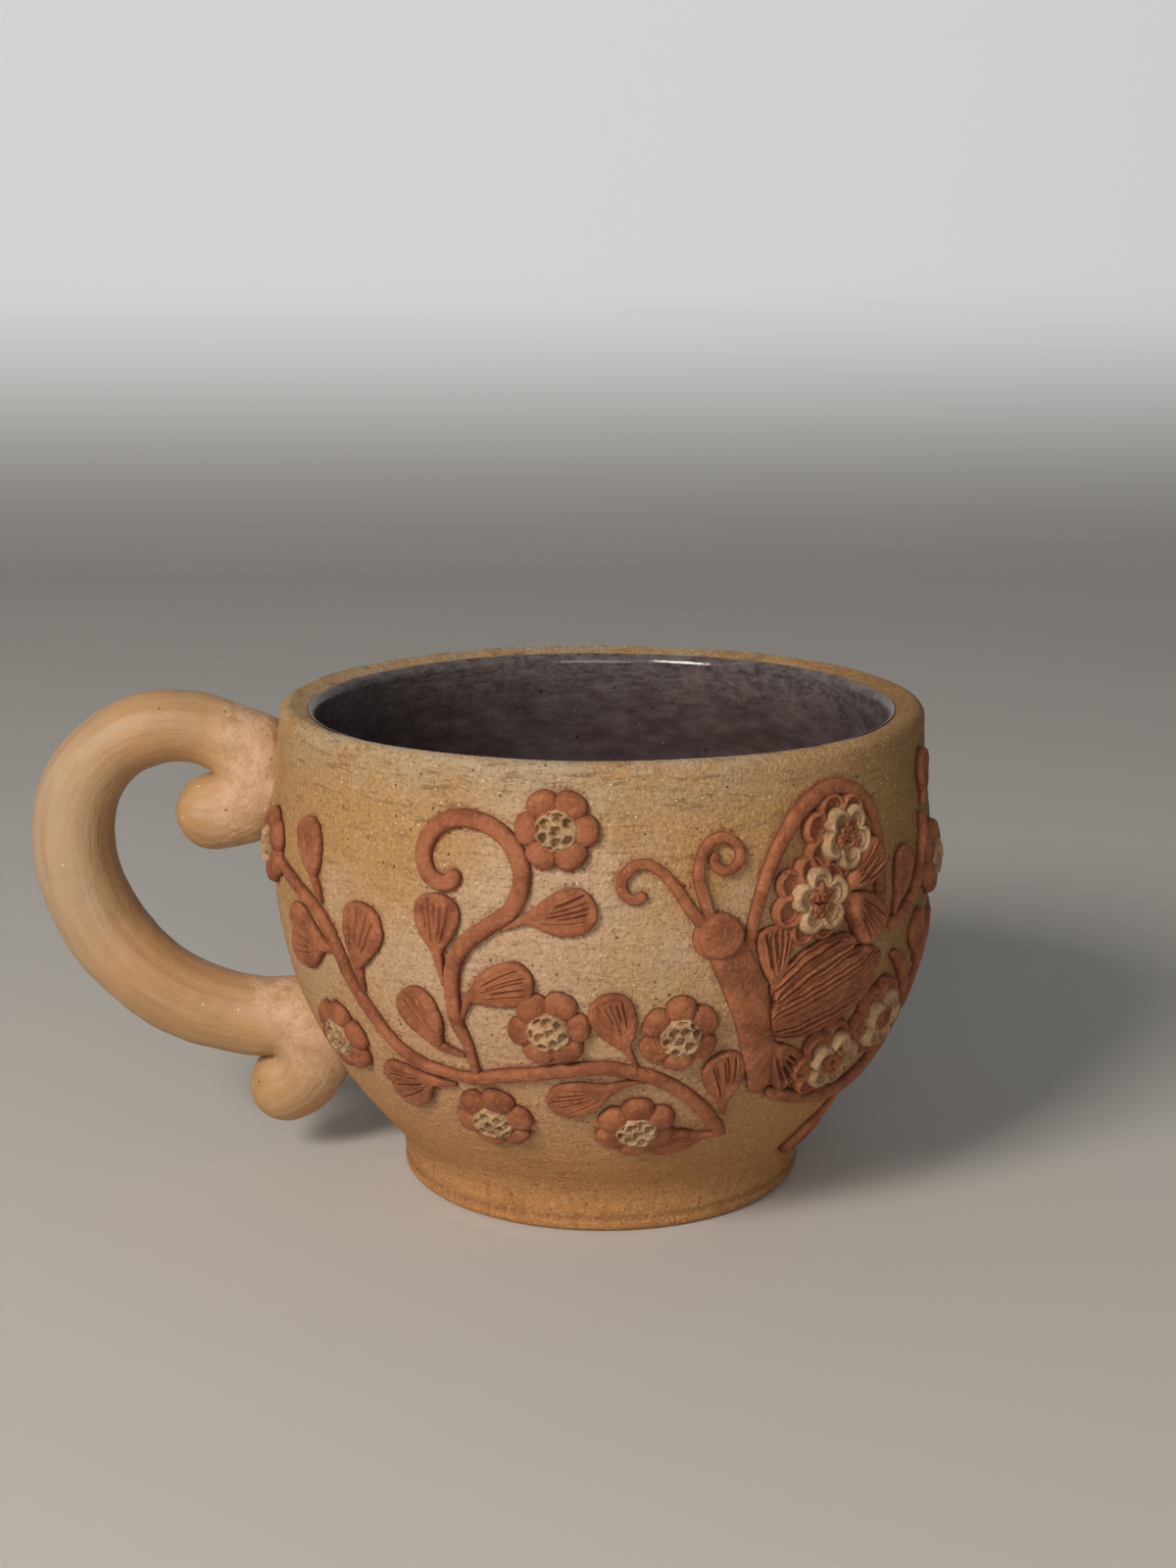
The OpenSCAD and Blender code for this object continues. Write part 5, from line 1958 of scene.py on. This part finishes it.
        waisted = ((0, 0.95), (0.15, 1), (0.35, 1.02), (0.5, 0.87), (0.75, 0.8), (0.93, 0.56), (1, 0.45))
        body = self.coils.roll("butterfly_body_rolled", scaled(self.BODY), 6.0, 1.6, waisted, self.red, 11,
                               Lump=0.45 * MM, Square=3.6)
        self.keep(body, Slot.RED, "butterfly_body")

    def leaves(self) -> None:
        """Presses the leaves and the wing pads."""
        for i, (row, count) in enumerate(zip(self.LEAVES, self.LEAF_STROKES), 1):
            leaf = self.blades.leaf(f"leaf_{i}_pressed", row, self.red, i, strokes=count,
                                    ragged=0.28 if i in self.TORN_LEAVES else 0.1)
            self.keep(leaf, Slot.RED, f"leaf_{i}")
        fluted = {"strokes": 6, "depth": 0.58, "tool": 0.19, "ragged": 0.14, "fan": True}
        for i, (row, own) in enumerate(zip(self.WING_LEAVES, self.WING_LEAF_SIZES), 1):
            leaf = self.blades.leaf(f"wing_leaf_{i}_pressed", row, self.red, 20 + i, **{**fluted, **own})
            self.keep(leaf, Slot.RED, f"wing_leaf_{i}")
        rows = (("upper_wing_pad", self.UPPER_PAD, 5.4, 1.45, 5),
                ("lower_wing_pad", self.LOWER_PAD, 10.2, 1.7, 9))
        for seed, (name, places, width, height, flutes) in enumerate(rows, 31):
            pad = self.blades.pad(name + "_pressed", scaled(places), width, height, flutes, self.red, seed)
            self.keep(pad, Slot.RED, name)

    def flowers(self) -> None:
        """Presses the pellet flowers."""
        for i, (share, turn) in enumerate(self.FLOWERS, 1):
            place = scaled(share)
            petals = self.pellet.petals(Spot(f"flower_{i}_pellets", place, self.red, i, turn))
            self.keep(petals, Slot.RED, f"flower_{i}_petals")
            middle = self.pellet.middle(Spot(f"flower_{i}_button", place, self.cream, 40 + i))
            self.keep(middle, Slot.CREAM, f"flower_{i}_centre")

    def butterfly(self) -> None:
        """Presses the butterfly's head and the flowers in its wings."""
        crown = Dome(3.3, 3.25, 2.3, power=8, edge=0.4, rings=28, sides=64).points()
        crown[..., :2] += (0.25, 0.2)
        solids = (("head_base", Dome(3.6, 3.5, 1.5, power=4, rings=22, sides=64).points()),
                  ("head_top", crown))
        parts = [self.rosettes.lay(ring_solid(name, points, self.red),
                                   Spot(name, scaled(self.HEAD), self.red, seed), rough=0.12)
                 for seed, (name, points) in enumerate(solids, 50)]
        self.keep(joined("butterfly_head_pressed", parts), Slot.RED, "butterfly_head")
        hearts = []
        for i, (share, turn) in enumerate(self.WING_FLOWERS, 1):
            place = scaled(share)
            frill = self.winged.under(Spot(f"wing_flower_{i}_folded", place + self.FRILL_ASIDE, self.red,
                                           60 + i, turn))
            self.keep(frill, Slot.RED, f"wing_flower_{i}_frill")
            over = self.winged.over(Spot(f"wing_flower_{i}_cupped", place, self.cream, 70 + i, turn))
            self.keep(over, Slot.CREAM, f"wing_flower_{i}_blossom")
            hearts.append(self.winged.heart(Spot(f"heart_{i}", place, self.red, 80 + i)))
        self.keep(joined("wing_flower_tufts", hearts), Slot.RED, "wing_flower_hearts")

    def far_side(self) -> None:
        """Makes the spray on the side away from the camera."""
        taper = ((0, 0.8), (0.05, 1), (0.94, 1), (1, 0.6))
        coils = [self.coils.roll(f"back_coil_{n}", scaled(places), 1.9, 1.3, taper, self.red, 20 + n)
                 for n, places in enumerate((self.BACK_STEM, self.BACK_VINE))]
        self.keep(joined("back_vines_rolled", coils), Slot.RED, "back_vines")
        leaves = [self.blades.leaf(f"back_leaf_{n}", row, self.red, 100 + n)
                  for n, row in enumerate(self.BACK_LEAVES)]
        self.keep(joined("back_leaves_pressed", leaves), Slot.RED, "back_leaves")
        petals, middles = [], []
        for n, (share, turn) in enumerate(self.BACK_FLOWERS):
            place = scaled(share)
            petals.append(self.pellet.petals(Spot(f"back_pellets_{n}", place, self.red, 120 + n, turn)))
            middles.append(self.pellet.middle(Spot(f"back_button_{n}", place, self.cream, 130 + n)))
        self.keep(joined("back_flower_pellets", petals), Slot.RED, "back_flower_petals")
        self.keep(joined("back_flower_buttons", middles), Slot.CREAM, "back_flower_centres")

    def footprint(self) -> np.ndarray:
        """Points of the relief close to the wall, for the slip round them."""
        found = [coordinates(piece) for piece in self.made]
        return np.vstack([co[np.abs(self.off_wall(co) - 0.1) < 0.45][::2] for co in found])


@dataclass
class Studio:
    """A pale floor and backdrop, soft lamps and the camera at the photograph's angle."""

    camera_at: tuple = (-2.118, -347.823, 141.345)
    pitch: float = 12.874
    lens: float = 52.0
    sensor_w: float = 36.0
    floor: str = "#bfbbb5"
    backdrop: str = "#f3f4f5"
    glow: float = 0.28
    glow_height: float = 140.0
    depth: float = 700.0
    reach: float = 1600.0
    bend: float = 320.0
    # Each lamp's place, width, watts and colour: a large window-like key from the front left, a weak fill
    lamps: tuple = (("key", (-480, -630, 540), 280, 7.3, "#fff8ee"),
                    ("fill", (20, -780, 240), 420, 1.8, "#f6f4f0"))
    aim: tuple = (0, 0, 40)
    sky: str = "#e9eef4"
    sky_strength: float = 0.2

    def paper(self) -> Material:
        """Plain matt paper, paler where it rises behind the mug, which only the camera sees.

        Returns:
            The material.
        """
        coat = Coat("matt_white_paper")
        rise = (coat.high, 0, self.glow_height * MM)
        seen = coat.add("ShaderNodeLightPath").outputs["Is Camera Ray"]
        return coat.finish({"Base Color": coat.layered(self.floor, (self.backdrop, 1, rise)),
                            "Roughness": 0.95, "Emission Color": linear(self.backdrop),
                            "Emission Strength": coat.amount(self.glow, rise, seen)})

    def cyclorama(self) -> None:
        """A floor that curves up into a backdrop."""
        a = np.radians(np.linspace(-90, 0, 24))
        y = np.concatenate([[-self.reach], self.depth + self.bend * np.cos(a), [self.depth + self.bend]])
        z = np.concatenate([[0], self.bend + self.bend * np.sin(a), [self.reach]])
        points = np.array([[x, *at] for at in zip(y, z) for x in (-self.reach, self.reach)])
        faces = [[i, i + 1, i + 3, i + 2] for i in range(0, 2 * len(y) - 2, 2)]
        mesh = bpy.data.meshes.new("cyclorama")
        mesh.from_pydata((points * MM).tolist(), [], faces)
        mesh.shade_smooth()
        mesh.materials.append(self.paper())
        floor = linked("cyclorama", mesh)

    def light(self) -> None:
        """Sets up the soft square lamps, which face the mug, and a pale sky."""
        world = bpy.data.worlds.new("sky")
        world.use_nodes = True
        plug(world.node_tree, world.node_tree.nodes["Background"],
             {"Color": linear(self.sky), "Strength": self.sky_strength})
        bpy.context.scene.world = world
        for name, at, size, power, colour in self.lamps:
            light = bpy.data.lights.new(name, "AREA")
            light.size = size * MM
            light.energy = power
            light.color = linear(colour)[:3]
            lamp = linked(name, light)
            lamp.location = [v * MM for v in at]
            x, y, z = np.array(self.aim) - np.array(at)
            lamp.rotation_euler = (math.atan2(math.hypot(x, y), -z), 0, math.atan2(-x, y))

    def shoot(self) -> None:
        """Sets the camera."""
        view = bpy.data.cameras.new("camera")
        view.lens = self.lens
        view.sensor_width = self.sensor_w
        view.clip_start = 0.01
        camera = linked("camera", view)
        camera.location = [v * MM for v in self.camera_at]
        camera.rotation_euler = (math.radians(90 - self.pitch), 0, 0)
        bpy.context.scene.camera = camera


def main() -> None:
    """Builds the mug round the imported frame."""
    logging.basicConfig(level=logging.INFO, format="%(message)s")
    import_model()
    bpy.context.scene.view_settings.view_transform = "Standard"
    wall = Wall()
    red = Clay("pressed_terracotta", "#a16241", "#7b442b", "#bd8b69", "#5a3020", pit=0.75)
    cream = Clay("pressed_cream_clay", "#c09b73", "#8c6747", "#dec6a5", "#7a5638", pit=0.6)
    relief = Relief(wall, red.material(), cream.material())
    relief.vines()
    relief.leaves()
    relief.flowers()
    relief.butterfly()
    relief.far_side()
    handle = seat(ScrollHandle(wall).build(Burnished().material()), Slot.SMOOTH, "handle")
    bowl = Bowl(wall)
    body = bowl.build(Stoneware().material(), relief.footprint(), coordinates(handle),
                      scaled(relief.SMUDGES))
    seat(body, Slot.TAN, "bowl")
    seat(bowl.line(Glaze().material()), Slot.GLAZE, "glaze_lining")
    studio = Studio()
    studio.cyclorama()
    studio.light()
    studio.shoot()


if __name__ == "__main__":
    main()
